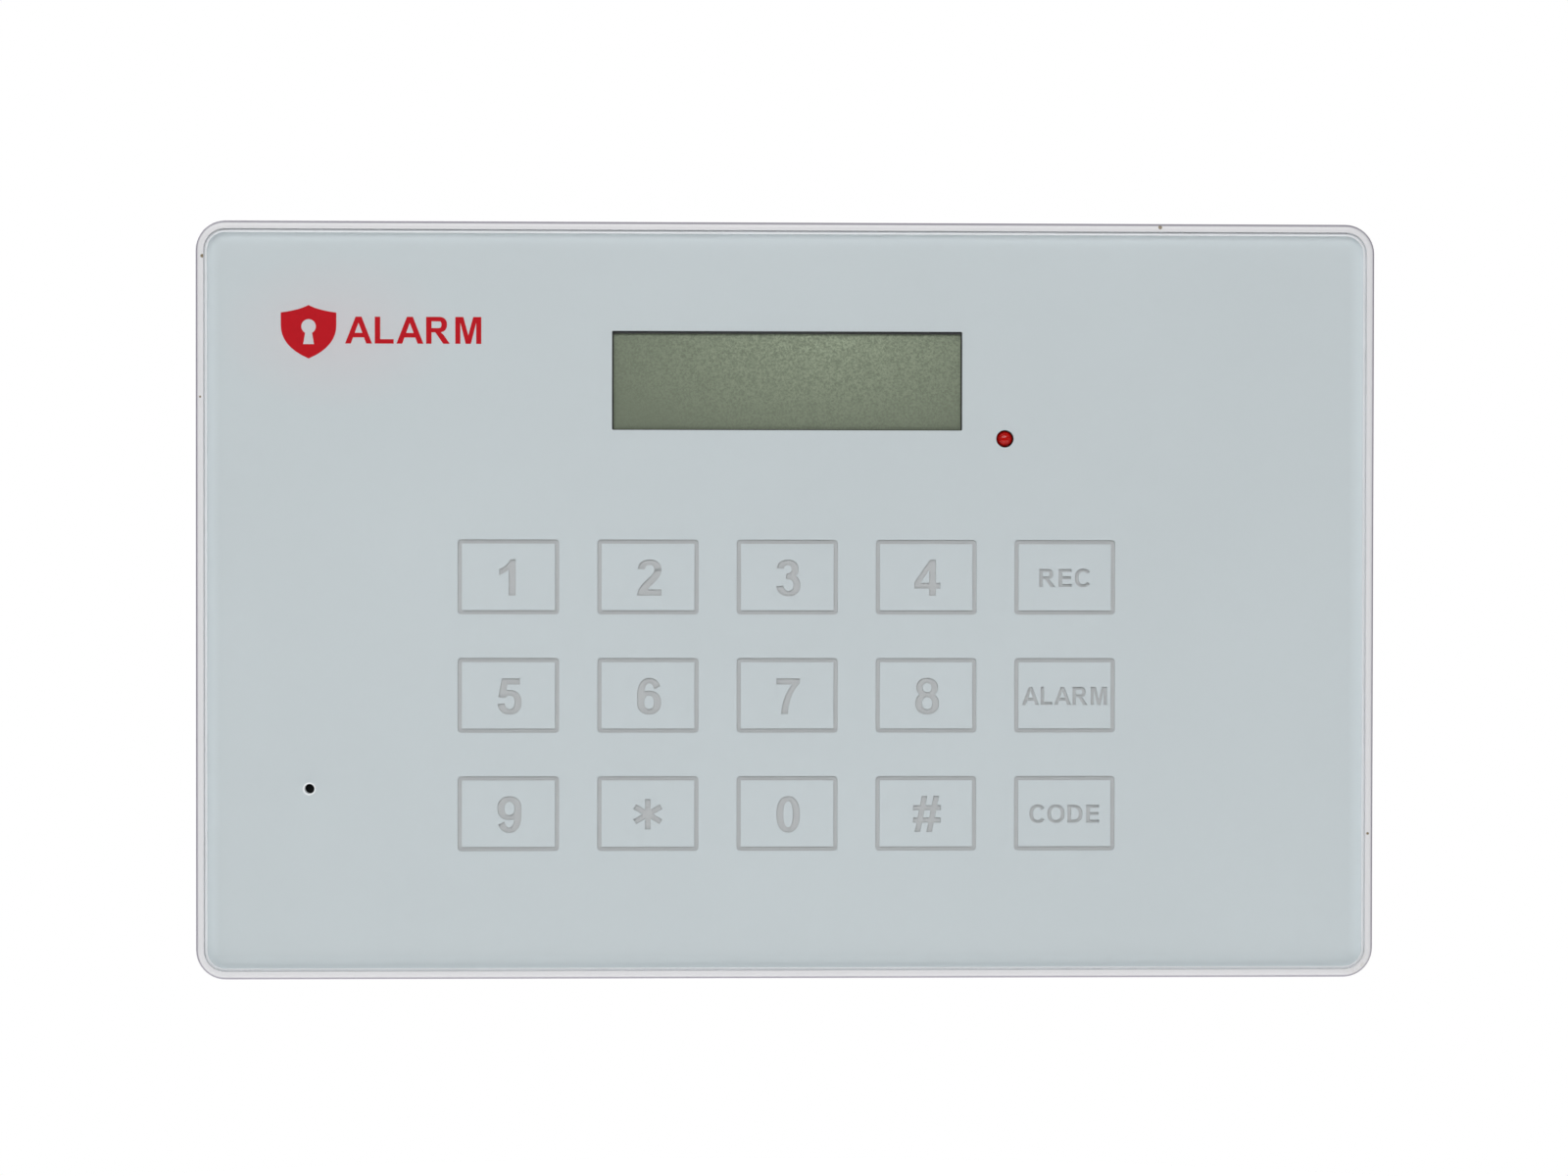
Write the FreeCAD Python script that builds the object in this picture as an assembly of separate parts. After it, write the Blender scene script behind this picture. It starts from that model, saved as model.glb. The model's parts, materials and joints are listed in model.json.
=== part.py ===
import FreeCAD, Part
import math
import os

from FreeCAD import Vector

# Alarm keypad panel: a slim wall unit with a flat touch front, a display and a wall bracket.
# Millimetres. X runs to the right as a person at the keypad sees it, Z is up, and Y runs into
# the wall. The origin is on the wall, behind the middle of the case, so the front is at -Y.

# ---------------------------------------------------------------- driving dimensions
CASE_W, CASE_H, CASE_D = 192.0, 123.2, 26.0
CASE_R = 4.8                      # corner radius of the case outline
WALL = 2.0
LIP = 1.3                         # visible rim of the frame round the touch panel
EDGE_ROUND = 0.8
FRONT_Y = -CASE_D

PANEL_SINK = 0.2                  # the touch panel lies this far below the rim
PANEL_T = 1.2
PANEL_BEVEL = 0.5
PANEL_GAP = 0.08
PANEL_DROP = 0.05                 # the touch panel rests low in its pocket
FILM_T = 0.5
SHEET_T = 0.3                     # diffuser sheet, and the tape frame round it
TAPE_W = 5.0
WEB_T = 1.5
PANEL_Y = FRONT_Y + PANEL_SINK    # front face of the touch panel
FILM_Y = PANEL_Y + PANEL_T
SHEET_Y = FILM_Y + FILM_T
WEB_Y = SHEET_Y + SHEET_T
WEB_BACK_Y = WEB_Y + WEB_T
SPLIT_Y = -15.0                   # where the frame's skirt meets the back cover

KEY_COLS, KEY_ROWS = 5, 3
KEY_PITCH_X, KEY_PITCH_Z = 22.72, 19.31
KEY_MID_Z = -15.44                # height of the middle row
WELL_W, WELL_H = 18.6, 14.4       # light well behind each key

LCD_X, LCD_Z = -0.03, 35.90
LCD_WINDOW_W, LCD_WINDOW_H = 57.17, 16.13
LCD_W, LCD_H = 64.0, 22.0
LCD_BEZEL_T = 0.4
LCD_DROP = 0.15                   # the bezel's opening sits this far low in the window
LCD_FRONT_Y = SHEET_Y + 0.05
LCD_GLASS_Y = LCD_FRONT_Y + LCD_BEZEL_T
LCD_GLASS_T = 1.8
LCD_LIGHT_Y = LCD_GLASS_Y + LCD_GLASS_T
LCD_STRIP_H = 1.6

LED_X, LED_Z, LED_R = 35.57, 26.51, 1.35
LED_HOLE_R = 1.43
LED_SLEEVE_R = 2.2
LED_FLANGE_T = 0.8
MIC_X, MIC_Z = -77.63, -30.59
MIC_HOLE_R = 0.8
MIC_R, MIC_BOOT_R = 3.0, 4.2
MIC_FRONT_Y = WEB_Y + 0.6
SLIP = 0.1                        # play round a piece in its hole

BOARD_T, MAIN_T = 1.2, 1.6
BOARD_Y = -19.5                   # front face of the keypad and display board
BOARD_BACK_Y = BOARD_Y + BOARD_T
BOARD_X0, BOARD_X1, BOARD_Z0, BOARD_Z1 = -84.0, 60.0, -46.0, 47.0
MAIN_Y = -14.2                    # front face of the main board
MAIN_BACK_Y = MAIN_Y + MAIN_T
MAIN_X0, MAIN_X1, MAIN_Z0, MAIN_Z1 = 1.0, 89.0, -47.0, 46.0

COVER_INSET = 0.4                 # the back cover is this much smaller on each side
COVER_BACK_Y = -0.8
COVER_W, COVER_H = CASE_W - 2 * COVER_INSET, CASE_H - 2 * COVER_INSET
COVER_SIDE_X = COVER_W / 2
COVER_WALL_X = COVER_SIDE_X - WALL
COVER_ROUND = 3.0
RECESS_W, RECESS_H, RECESS_Z = 154.0, 96.0, 2.0
RECESS_Y = -4.0                   # floor of the recess that takes the bracket
FLOOR_Y = RECESS_Y - WALL         # inner face of that floor

BRACKET_W, BRACKET_H, BRACKET_T, BRACKET_Z = 150.0, 88.0, 2.0, 5.0
BRACKET_RIB = 1.0
HOOK_X, HOOK_Z = 68.0, (30.0, -20.0)
HOOK_W, HOOK_NECK, HOOK_TIP, HOOK_LIP_T = 7.0, 3.0, 5.0, 1.7
LIFT = 6.0                        # the panel lifts this far to clear the hooks
HOOK_GAP = 0.3
HANG_GAP = 0.1
WALL_HOLE_X, WALL_HOLE_Z, WALL_HOLE_R = 50.0, 38.0, 2.2
CABLE_X, CABLE_Z, CABLE_W, CABLE_H = 20.0, -19.5, 44.0, 27.0
SOUND_W, SOUND_H = 44.0, 30.0
WINDOW_RIM = 2.0
GROOVE_W, GROOVE_D = 12.0, 1.0    # channel for surface wiring, from the window to both edges

SPEAKER_X, SPEAKER_Z, SPEAKER_R = -38.0, 16.0, 18.0
SPEAKER_TAB_X = 14.0              # the leads join the speaker this far from its middle
GASKET_T = 0.5
BATTERY_X, BATTERY_Z, BATTERY_W, BATTERY_H, BATTERY_T = -31.0, -26.0, 60.0, 34.0, 6.0
PAD_T = 0.5
LEAD_R, LEAD_Y, LEAD_GAP, LEAD_BEND = 0.65, -10.3, 0.8, 3.0
PLUG_X, BATTERY_PLUG_Z, SPEAKER_PLUG_Z = 3.0, 2.0, 24.0
HEADER_X, HEADER_Z, HEADER_PINS, HEADER_PITCH, SOCKET_T = 24.0, 42.0, 8, 2.54, 2.4

RADIO_X, RADIO_Z, RADIO_W, RADIO_H, RADIO_T = 30.0, 22.0, 22.0, 18.0, 0.8
ANTENNA_R, ANTENNA_Z, ANTENNA_X, ANTENNA_END_Z, ANTENNA_BEND = 0.5, 50.0, -80.0, 14.0, 6.0
CHIP_X, CHIP_Z, CHIP_SIDE, CHIP_LEADS = 52.0, 18.0, 14.0, 12

TERMINALS, TERMINAL_PITCH = 10, 3.5
TERMINAL_X, TERMINAL_Z, TERMINAL_D, TERMINAL_BACK_Y = 20.0, -15.0, 10.0, -3.6
BAY_W, BAY_Z0, BAY_Z1 = 37.4, -32.0, -9.2

JACK_Z, JACK_Y, JACK_W, JACK_L, JACK_NOSE_R = -30.0, -8.1, 9.0, 13.4, 3.9
JACK_SOCKET_R, JACK_PIN_R, JACK_DEPTH = 2.8, 1.0, 9.0
SWITCH_Z, SWITCH_L, SWITCH_T, SWITCH_D = -8.0, 9.0, 3.6, 5.0
KNOB_L, KNOB_T, KNOB_TRAVEL, KNOB_GAP = 3.0, 2.0, 2.5, 0.3

TAMPER_X, TAMPER_Z, TAMPER_W = 60.0, -42.0, 8.0
TAMPER_FACE_Y = -6.6
PLUNGER_R, COLLAR_R, COLLAR_T, PLUNGER_TIP_Y = 1.7, 2.8, 1.0, -0.3
TAMPER_CLEAR = 0.08
TAMPER_POCKET_Y = MAIN_BACK_Y + 1.0
TAMPER_STOP_Y = TAMPER_FACE_Y - 0.8
COLLAR_Y = TAMPER_STOP_Y - 0.05 - COLLAR_T

CASE_SCREWS = [(x, z) for x in (-86.0, 86.0) for z in (-52.0, 52.0)]
CASE_SCREW_R, CASE_SCREW_HEAD_R, CASE_SCREW_HEAD_T = 1.45, 2.8, 2.2
CASE_BOSS_R, CASE_SEAT_Y, CASE_SCREW_END_Y = 4.0, -12.0, -20.5
FRONT_SCREWS = [(-80.0, 42.0), (-80.0, -2.0), (-62.0, -42.0), (56.0, 42.0), (56.0, -42.0)]
MAIN_SCREWS = [(6.0, 42.0), (84.0, 42.0), (6.0, -42.0), (84.0, -43.0)]
BOARD_SCREW_R, BOARD_SCREW_HEAD_R, BOARD_SCREW_HEAD_T = 1.1, 2.1, 1.5
BOARD_BOSS_R = 2.8


# ---------------------------------------------------------------- shape helpers
def block(x0, x1, y0, y1, z0, z1):
    """A box between two corners."""
    return Part.makeBox(x1 - x0, y1 - y0, z1 - z0, Vector(x0, y0, z0))


def slab(x, z, width, height, y0, y1):
    """A box centred on (x, z), from y0 back to y1."""
    return block(x - width / 2, x + width / 2, y0, y1, z - height / 2, z + height / 2)


def outline(x, z, width, height, radius, y):
    """A rounded rectangle in the plane of the wall, as one closed wire."""
    edges = []
    corners = [(1, 1), (-1, 1), (-1, -1), (1, -1)]
    for turn, (sx, sz) in enumerate(corners):
        cx = x + sx * (width / 2 - radius)
        cz = z + sz * (height / 2 - radius)
        angles = [math.radians(90 * turn + step) for step in (0, 45, 90)]
        points = [Vector(cx + radius * math.cos(a), y, cz + radius * math.sin(a)) for a in angles]
        if edges:
            edges.append(Part.makeLine(edges[-1].lastVertex().Point, points[0]))
        edges.append(Part.Arc(*points).toShape())
    edges.append(Part.makeLine(edges[-1].lastVertex().Point, edges[0].firstVertex().Point))
    return Part.Wire(edges)


def plate(x, z, width, height, radius, y0, y1):
    """A rounded rectangle, thick from y0 back to y1."""
    return Part.Face(outline(x, z, width, height, radius, y0)).extrude(Vector(0, y1 - y0, 0))


def disc(x, z, radius, y0, y1):
    """A cylinder that points into the wall."""
    return Part.makeCylinder(radius, y1 - y0, Vector(x, y0, z), Vector(0, 1, 0))


def rod_x(y, z, radius, x0, x1):
    """A cylinder that runs sideways."""
    return Part.makeCylinder(radius, x1 - x0, Vector(x0, y, z), Vector(1, 0, 0))


def cone(x, z, r0, r1, y0, y1):
    """A cone along Y, r0 at y0 and r1 at y1."""
    return Part.makeCone(r0, r1, y1 - y0, Vector(x, y0, z), Vector(0, 1, 0))


def ring(x, z, outer, inner, y0, y1):
    return disc(x, z, outer, y0, y1).cut(disc(x, z, inner, y0 - 1, y1 + 1))


def join(shapes):
    """One solid from pieces that overlap or meet."""
    first, rest = shapes[0], shapes[1:]
    return first.fuse(rest).removeSplitter() if rest else first


def loose(shapes):
    """Several separate solids kept in one node."""
    return Part.makeCompound(shapes)


def edges_at(shape, y):
    """The edges that lie flat in the plane at y."""
    boxes = [(edge, edge.BoundBox) for edge in shape.Edges]
    return [edge for edge, box in boxes if max(abs(box.YMin - y), abs(box.YMax - y)) < 1e-6]


def soften(shape, radius, y):
    """Round the edges that lie flat in the plane at y."""
    return shape.makeFillet(radius, edges_at(shape, y))


def screw(x, z, radius, head_radius, head_t, seat_y, end_y, toward_wall):
    """A pan-head screw. Its head seats at seat_y and its tip is at end_y."""
    if toward_wall:
        head = disc(x, z, head_radius, seat_y - head_t, seat_y)
        shank = disc(x, z, radius, seat_y, end_y)
        drive_y = seat_y - head_t
        drive = [slab(x, z, w, h, drive_y - 0.1, drive_y + 0.8) for w, h in ((2.4, 0.6), (0.6, 2.4))]
    else:
        head = disc(x, z, head_radius, seat_y, seat_y + head_t)
        shank = disc(x, z, radius, end_y, seat_y)
        drive_y = seat_y + head_t
        drive = [slab(x, z, w, h, drive_y - 0.8, drive_y + 0.1) for w, h in ((3.2, 0.8), (0.8, 3.2))]
    head = soften(head, 0.4, drive_y)
    return join([head, shank]).cut(drive)


def wire_run(points, radius, bend):
    """A round wire along straight runs in one plane, with an arc at each turn."""
    edges = []
    start = points[0]
    for before, corner, after in zip(points, points[1:], points[2:]):
        back = (before - corner).normalize()
        ahead = (after - corner).normalize()
        half = back.getAngle(ahead) / 2
        reach = bend / math.tan(half)
        arc_in = corner + back * reach
        arc_out = corner + ahead * reach
        middle_way = (back + ahead).normalize()
        middle = corner + middle_way * (bend / math.sin(half) - bend)
        edges.append(Part.makeLine(start, arc_in))
        edges.append(Part.Arc(arc_in, middle, arc_out).toShape())
        start = arc_out
    edges.append(Part.makeLine(start, points[-1]))
    path = Part.Wire(edges)
    section = Part.Wire(Part.makeCircle(radius, points[0], points[1] - points[0]))
    return path.makePipeShell([section], True, False)


def keys():
    """The centre of every key, row by row from the top left."""
    for row in range(KEY_ROWS):
        for col in range(KEY_COLS):
            x = (col - (KEY_COLS - 1) / 2) * KEY_PITCH_X
            z = KEY_MID_Z + (1 - row) * KEY_PITCH_Z
            yield x, z


# ---------------------------------------------------------------- front
def front_frame():
    """Glossy frame: rim, pocket for the touch panel, web with light wells, and skirt."""
    frame = plate(0, 0, CASE_W, CASE_H, CASE_R, FRONT_Y, SPLIT_Y)
    frame = soften(frame, EDGE_ROUND, FRONT_Y)
    pocket = plate(0, 0, CASE_W - 2 * LIP, CASE_H - 2 * LIP, CASE_R - LIP, FRONT_Y - 1, WEB_Y)
    inner_w, inner_h = CASE_W - 2 * WALL, CASE_H - 2 * WALL
    hollow = plate(0, 0, inner_w, inner_h, CASE_R - WALL, WEB_BACK_Y, SPLIT_Y + 1)
    bosses = [disc(x, z, CASE_BOSS_R, WEB_BACK_Y - 0.5, SPLIT_Y) for x, z in CASE_SCREWS]
    bosses += [disc(x, z, BOARD_BOSS_R, WEB_BACK_Y - 0.5, BOARD_Y) for x, z in FRONT_SCREWS]
    frame = join([frame.cut([pocket, hollow])] + bosses)
    y0, y1 = WEB_Y - 1, WEB_BACK_Y + 1
    holes = [plate(x, z, WELL_W, WELL_H, 1.0, y0, y1) for x, z in keys()]
    holes.append(slab(LCD_X, LCD_Z, LCD_W + 6 * SLIP, LCD_H + 6 * SLIP, y0, y1))
    holes.append(disc(LED_X, LED_Z, LED_SLEEVE_R + SLIP, y0, y1))
    holes.append(disc(MIC_X, MIC_Z, MIC_BOOT_R + SLIP, y0, y1))
    holes += [disc(x, z, CASE_SCREW_R, CASE_SCREW_END_Y, SPLIT_Y + 1) for x, z in CASE_SCREWS]
    holes += [disc(x, z, BOARD_SCREW_R, WEB_BACK_Y - 0.5, BOARD_Y + 1) for x, z in FRONT_SCREWS]
    return frame.cut(holes)


def panel_size(margin=0.0):
    """Width, height and corner radius of the sheets in the pocket."""
    inset = LIP + PANEL_GAP + margin
    return CASE_W - 2 * inset, CASE_H - 2 * inset, max(CASE_R - inset, 0.5)


def touch_panel():
    """Clear acrylic front with a bevelled edge and a drilled microphone hole."""
    width, height, radius = panel_size()
    panel = plate(0, -PANEL_DROP, width, height, radius, PANEL_Y, FILM_Y)
    panel = panel.makeChamfer(PANEL_BEVEL, edges_at(panel, PANEL_Y))
    hole = disc(MIC_X, MIC_Z, MIC_HOLE_R, PANEL_Y - 1, FILM_Y + 1)
    mouth = cone(MIC_X, MIC_Z, MIC_HOLE_R + 0.25, MIC_HOLE_R, PANEL_Y, PANEL_Y + 0.25)
    return panel.cut([hole, mouth])


def graphic_film():
    """Printed film behind the touch panel, open at the display, lamp and microphone."""
    width, height, radius = panel_size()
    film = plate(0, -PANEL_DROP, width, height, radius, FILM_Y, SHEET_Y)
    y0, y1 = FILM_Y - 1, SHEET_Y + 1
    window = slab(LCD_X, LCD_Z, LCD_WINDOW_W, LCD_WINDOW_H, y0, y1)
    lamp = disc(LED_X, LED_Z, LED_HOLE_R, y0, y1)
    mic = disc(MIC_X, MIC_Z, MIC_HOLE_R, y0, y1)
    return film.cut([window, lamp, mic])


def light_diffuser():
    """Milky sheet behind the film; it shows through the unprinted legends."""
    width, height, radius = panel_size(TAPE_W + PANEL_GAP)
    sheet = plate(0, 0, width, height, radius, SHEET_Y, WEB_Y)
    y0, y1 = SHEET_Y - 1, WEB_Y + 1
    display = slab(LCD_X, LCD_Z, LCD_W + 6 * SLIP, LCD_H + 6 * SLIP, y0, y1)
    lamp = disc(LED_X, LED_Z, LED_SLEEVE_R + SLIP, y0, y1)
    mic = disc(MIC_X, MIC_Z, MIC_HOLE_R + SLIP, y0, y1)
    return sheet.cut([display, lamp, mic])


def panel_tape():
    """Double-sided tape frame that holds the touch panel in the pocket."""
    width, height, radius = panel_size(PANEL_GAP)
    inner_w, inner_h, inner_r = panel_size(TAPE_W)
    tape = plate(0, 0, width, height, radius, SHEET_Y, WEB_Y)
    return tape.cut(plate(0, 0, inner_w, inner_h, inner_r, SHEET_Y - 1, WEB_Y + 1))


# ---------------------------------------------------------------- display
def lcd_bezel():
    """Black pressed-steel frame round the display."""
    shell = slab(LCD_X, LCD_Z, LCD_W, LCD_H, LCD_FRONT_Y, BOARD_Y)
    inside_w, inside_h = LCD_W - 2 * LCD_BEZEL_T, LCD_H - 2 * LCD_BEZEL_T
    inside = slab(LCD_X, LCD_Z, inside_w, inside_h, LCD_FRONT_Y + LCD_BEZEL_T, BOARD_Y + 1)
    view_w, view_h = LCD_WINDOW_W - 0.45, LCD_WINDOW_H - 0.55
    view = slab(LCD_X, LCD_Z - LCD_DROP, view_w, view_h, LCD_FRONT_Y - 1, LCD_FRONT_Y + 1)
    return shell.cut([inside, view])


def lcd_glass():
    """The display's glass sandwich."""
    inside_w, inside_h = LCD_W - 2 * LCD_BEZEL_T, LCD_H - 2 * LCD_BEZEL_T
    return slab(LCD_X, LCD_Z, inside_w, inside_h, LCD_GLASS_Y, LCD_LIGHT_Y)


def lcd_backlight():
    """White light block under the glass, above the contact strip."""
    low = LCD_Z - LCD_H / 2 + LCD_BEZEL_T + LCD_STRIP_H + 0.3
    high = LCD_Z + LCD_H / 2 - LCD_BEZEL_T
    half = LCD_W / 2 - LCD_BEZEL_T
    return block(LCD_X - half, LCD_X + half, LCD_LIGHT_Y, BOARD_Y, low, high)


def lcd_contact_strip():
    """Rubber contact strip between the glass edge and the board."""
    low = LCD_Z - LCD_H / 2 + LCD_BEZEL_T + SLIP
    half = LCD_W / 2 - 3.0
    return block(LCD_X - half, LCD_X + half, LCD_LIGHT_Y, BOARD_Y, low, low + LCD_STRIP_H)


# ---------------------------------------------------------------- keypad and display board
def board_holes(places, radius, y0, y1):
    return [disc(x, z, radius, y0 - 1, y1 + 1) for x, z in places]


def keypad_board():
    """Circuit board behind the web, with the touch pads and the display."""
    board = block(BOARD_X0, BOARD_X1, BOARD_Y, BOARD_BACK_Y, BOARD_Z0, BOARD_Z1)
    return board.cut(board_holes(FRONT_SCREWS, BOARD_SCREW_R + 0.2, BOARD_Y, BOARD_BACK_Y))


def touch_springs():
    """One contact spring behind every key, from the board to the diffuser."""
    return loose([ring(x, z, 3.5, 3.0, WEB_Y, BOARD_Y) for x, z in keys()])


def key_lights():
    """One small lamp inside every contact spring."""
    return loose([slab(x, z, 1.6, 0.8, BOARD_Y - 0.7, BOARD_Y) for x, z in keys()])


def touch_chips():
    """Two touch-sensing chips on the back of the keypad board."""
    y0, y1 = BOARD_BACK_Y, BOARD_BACK_Y + 1.5
    return loose([slab(x, KEY_MID_Z, 10.0, 7.0, y0, y1) for x in (-20.0, -46.0)])


def status_led():
    """Red 3 mm indicator: flange, barrel and dome."""
    flange_y = BOARD_Y - LED_FLANGE_T
    flange = disc(LED_X, LED_Z, LED_R + 0.4, flange_y, BOARD_Y)
    tip_y = FILM_Y + 0.05
    barrel = disc(LED_X, LED_Z, LED_R, tip_y + LED_R, flange_y)
    dome = Part.makeSphere(LED_R, Vector(LED_X, tip_y + LED_R, LED_Z))
    return join([flange, barrel, dome])


def led_sleeve():
    """Black sleeve that stands the indicator off the board and stops stray light."""
    y0, y1 = SHEET_Y + 0.3, BOARD_Y - LED_FLANGE_T
    return ring(LED_X, LED_Z, LED_SLEEVE_R, LED_R, y0, y1)


def microphone():
    return soften(disc(MIC_X, MIC_Z, MIC_R, MIC_FRONT_Y, BOARD_Y), 0.3, MIC_FRONT_Y)


def mic_boot():
    """Rubber boot that seals the microphone to its hole."""
    boot = disc(MIC_X, MIC_Z, MIC_BOOT_R, WEB_Y, BOARD_Y)
    pocket = disc(MIC_X, MIC_Z, MIC_R, MIC_FRONT_Y, BOARD_Y + 1)
    return boot.cut([pocket, disc(MIC_X, MIC_Z, MIC_HOLE_R, WEB_Y - 1, BOARD_Y)])


def board_socket():
    """Socket on the keypad board that takes the main board's pins."""
    y1 = BOARD_BACK_Y + SOCKET_T
    length = (HEADER_PINS + 0.6) * HEADER_PITCH
    socket = slab(HEADER_X, HEADER_Z, length, 4.0, BOARD_BACK_Y, y1)
    pins = [slab(x, HEADER_Z, 0.7, 0.7, BOARD_BACK_Y + 0.4, y1 + 1) for x in header_pins()]
    return socket.cut(pins)


def header_pins():
    """Where each pin stands along the header."""
    middle = (HEADER_PINS - 1) / 2
    return [HEADER_X + (i - middle) * HEADER_PITCH for i in range(HEADER_PINS)]


def board_header():
    """Pin header on the main board."""
    length = HEADER_PINS * HEADER_PITCH
    base = slab(HEADER_X, HEADER_Z, length, 3.0, BOARD_BACK_Y + SOCKET_T, MAIN_Y)
    pins = [slab(x, HEADER_Z, 0.64, 0.64, BOARD_BACK_Y + 0.6, MAIN_Y) for x in header_pins()]
    return join([base] + pins)


def keypad_board_screws():
    seat, end = BOARD_BACK_Y, WEB_BACK_Y - 0.4
    r, head_r, head_t = BOARD_SCREW_R, BOARD_SCREW_HEAD_R, BOARD_SCREW_HEAD_T
    return loose([screw(x, z, r, head_r, head_t, seat, end, False) for x, z in FRONT_SCREWS])


# ---------------------------------------------------------------- main board
def main_board():
    board = block(MAIN_X0, MAIN_X1, MAIN_Y, MAIN_BACK_Y, MAIN_Z0, MAIN_Z1)
    return board.cut(board_holes(MAIN_SCREWS, BOARD_SCREW_R + 0.2, MAIN_Y, MAIN_BACK_Y))


def main_board_screws():
    seat, end = MAIN_Y, MAIN_BACK_Y + 4.0
    r, head_r, head_t = BOARD_SCREW_R, BOARD_SCREW_HEAD_R, BOARD_SCREW_HEAD_T
    return loose([screw(x, z, r, head_r, head_t, seat, end, True) for x, z in MAIN_SCREWS])


def processor():
    """Main chip with its rows of leads."""
    x, z, side = CHIP_X, CHIP_Z, CHIP_SIDE
    chip = slab(x, z, side, side, MAIN_BACK_Y + 0.1, MAIN_BACK_Y + 1.6)
    legs = []
    for i in range(CHIP_LEADS):
        shift = i - (CHIP_LEADS - 1) / 2
        legs.append(slab(x + shift, z, 0.4, side + 2.0, MAIN_BACK_Y, MAIN_BACK_Y + 0.3))
        legs.append(slab(x, z + shift, side + 2.0, 0.4, MAIN_BACK_Y, MAIN_BACK_Y + 0.3))
    return join([chip] + legs)


def radio_board():
    """Receiver board for the wireless sensors."""
    return slab(RADIO_X, RADIO_Z, RADIO_W, RADIO_H, MAIN_BACK_Y, MAIN_BACK_Y + RADIO_T)


def radio_shield():
    """Tinned can over the receiver."""
    y0, y1, skin = MAIN_BACK_Y + RADIO_T, MAIN_BACK_Y + 3.2, 0.3
    width, height = RADIO_W - 4.0, RADIO_H - 4.0
    can = slab(RADIO_X, RADIO_Z, width, height, y0, y1)
    return can.cut(slab(RADIO_X, RADIO_Z, width - 2 * skin, height - 2 * skin, y0 - 1, y1 - skin))


def antenna():
    """Quarter-wave wire aerial, glued along the inside of the case."""
    y = MAIN_BACK_Y + RADIO_T + ANTENNA_R
    x0, z0 = RADIO_X + RADIO_W / 2 - 1.0, RADIO_Z + RADIO_H / 2 - 2.0
    corners = [(x0, z0), (x0, ANTENNA_Z), (ANTENNA_X, ANTENNA_Z), (ANTENNA_X, ANTENNA_END_Z)]
    return wire_run([Vector(x, y, z) for x, z in corners], ANTENNA_R, ANTENNA_BEND)


def capacitors():
    """Two reservoir capacitors."""
    y1 = MAIN_BACK_Y + 5.4
    cans = [soften(disc(x, 0.0, 3.15, MAIN_BACK_Y + 0.4, y1), 0.4, y1) for x in (50.0, 58.5)]
    bases = [slab(x, 0.0, 6.6, 6.6, MAIN_BACK_Y, MAIN_BACK_Y + 0.6) for x in (50.0, 58.5)]
    return loose([join([can, base]) for can, base in zip(cans, bases)])


def power_inductor():
    """Coil of the charging supply, beside the power inlet."""
    return plate(74.0, -38.0, 8.0, 8.0, 1.5, MAIN_BACK_Y, MAIN_BACK_Y + 4.0)


def terminal_places():
    first = TERMINAL_X - (TERMINALS - 1) / 2 * TERMINAL_PITCH
    return [first + i * TERMINAL_PITCH for i in range(TERMINALS)]


def terminal_block():
    """Screw terminals for the wired zones and the siren, reached from behind."""
    width = TERMINALS * TERMINAL_PITCH
    body = slab(TERMINAL_X, TERMINAL_Z, width, TERMINAL_D, MAIN_BACK_Y, TERMINAL_BACK_Y)
    cuts = []
    low = TERMINAL_Z - TERMINAL_D / 2
    for x in terminal_places():
        cuts.append(disc(x, TERMINAL_Z + 1.2, 1.5, TERMINAL_BACK_Y - 4.0, TERMINAL_BACK_Y + 1))
        cuts.append(block(x - 1.2, x + 1.2, -10.4, -7.8, low - 1, low + 4.0))
    return body.cut(cuts)


def terminal_screws():
    y0, y1 = TERMINAL_BACK_Y - 4.0, TERMINAL_BACK_Y - 1.2
    screws = []
    for x in terminal_places():
        head = disc(x, TERMINAL_Z + 1.2, 1.4, y0, y1)
        screws.append(head.cut(slab(x, TERMINAL_Z + 1.2, 3.0, 0.5, y1 - 0.6, y1 + 1)))
    return loose(screws)


def dc_jack():
    """Power inlet: body, round nose in the side wall, and the socket in it."""
    x0 = COVER_WALL_X - JACK_L
    z0, z1 = JACK_Z - JACK_W / 2, JACK_Z + JACK_W / 2
    body = block(x0, COVER_WALL_X, MAIN_BACK_Y, JACK_Y + JACK_W / 2, z0, z1)
    nose = rod_x(JACK_Y, JACK_Z, JACK_NOSE_R, COVER_WALL_X - 1, COVER_SIDE_X - 0.3)
    socket = rod_x(JACK_Y, JACK_Z, JACK_SOCKET_R, COVER_SIDE_X - 0.3 - JACK_DEPTH, COVER_SIDE_X)
    return join([body, nose]).cut(socket)


def dc_jack_pin():
    """Centre contact of the power inlet."""
    x0 = COVER_SIDE_X - 0.3 - JACK_DEPTH
    pin = rod_x(JACK_Y, JACK_Z, JACK_PIN_R, x0, COVER_SIDE_X - 1.2)
    tip = [e for e in pin.Edges if e.BoundBox.XMin > COVER_SIDE_X - 1.3]
    return pin.makeFillet(0.5, tip)


def switch_body():
    """Slide switch on the main board, behind the side wall."""
    z0, z1 = SWITCH_Z - SWITCH_L / 2, SWITCH_Z + SWITCH_L / 2
    y0, y1 = MAIN_BACK_Y, MAIN_BACK_Y + SWITCH_T
    body = block(COVER_WALL_X - SWITCH_D, COVER_WALL_X - 0.1, y0, y1, z0, z1)
    z_low = SWITCH_Z - KNOB_TRAVEL / 2 - KNOB_L / 2 - KNOB_GAP
    z_high = SWITCH_Z + KNOB_TRAVEL / 2 + KNOB_L / 2 + KNOB_GAP
    half = KNOB_T / 2 + KNOB_GAP
    y_mid = knob_y()
    return body.cut(block(COVER_WALL_X - 1.8, COVER_WALL_X + 1, y_mid - half, y_mid + half, z_low, z_high))


def knob_y():
    """Depth of the middle of the switch knob."""
    return MAIN_BACK_Y + SWITCH_T / 2


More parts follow.
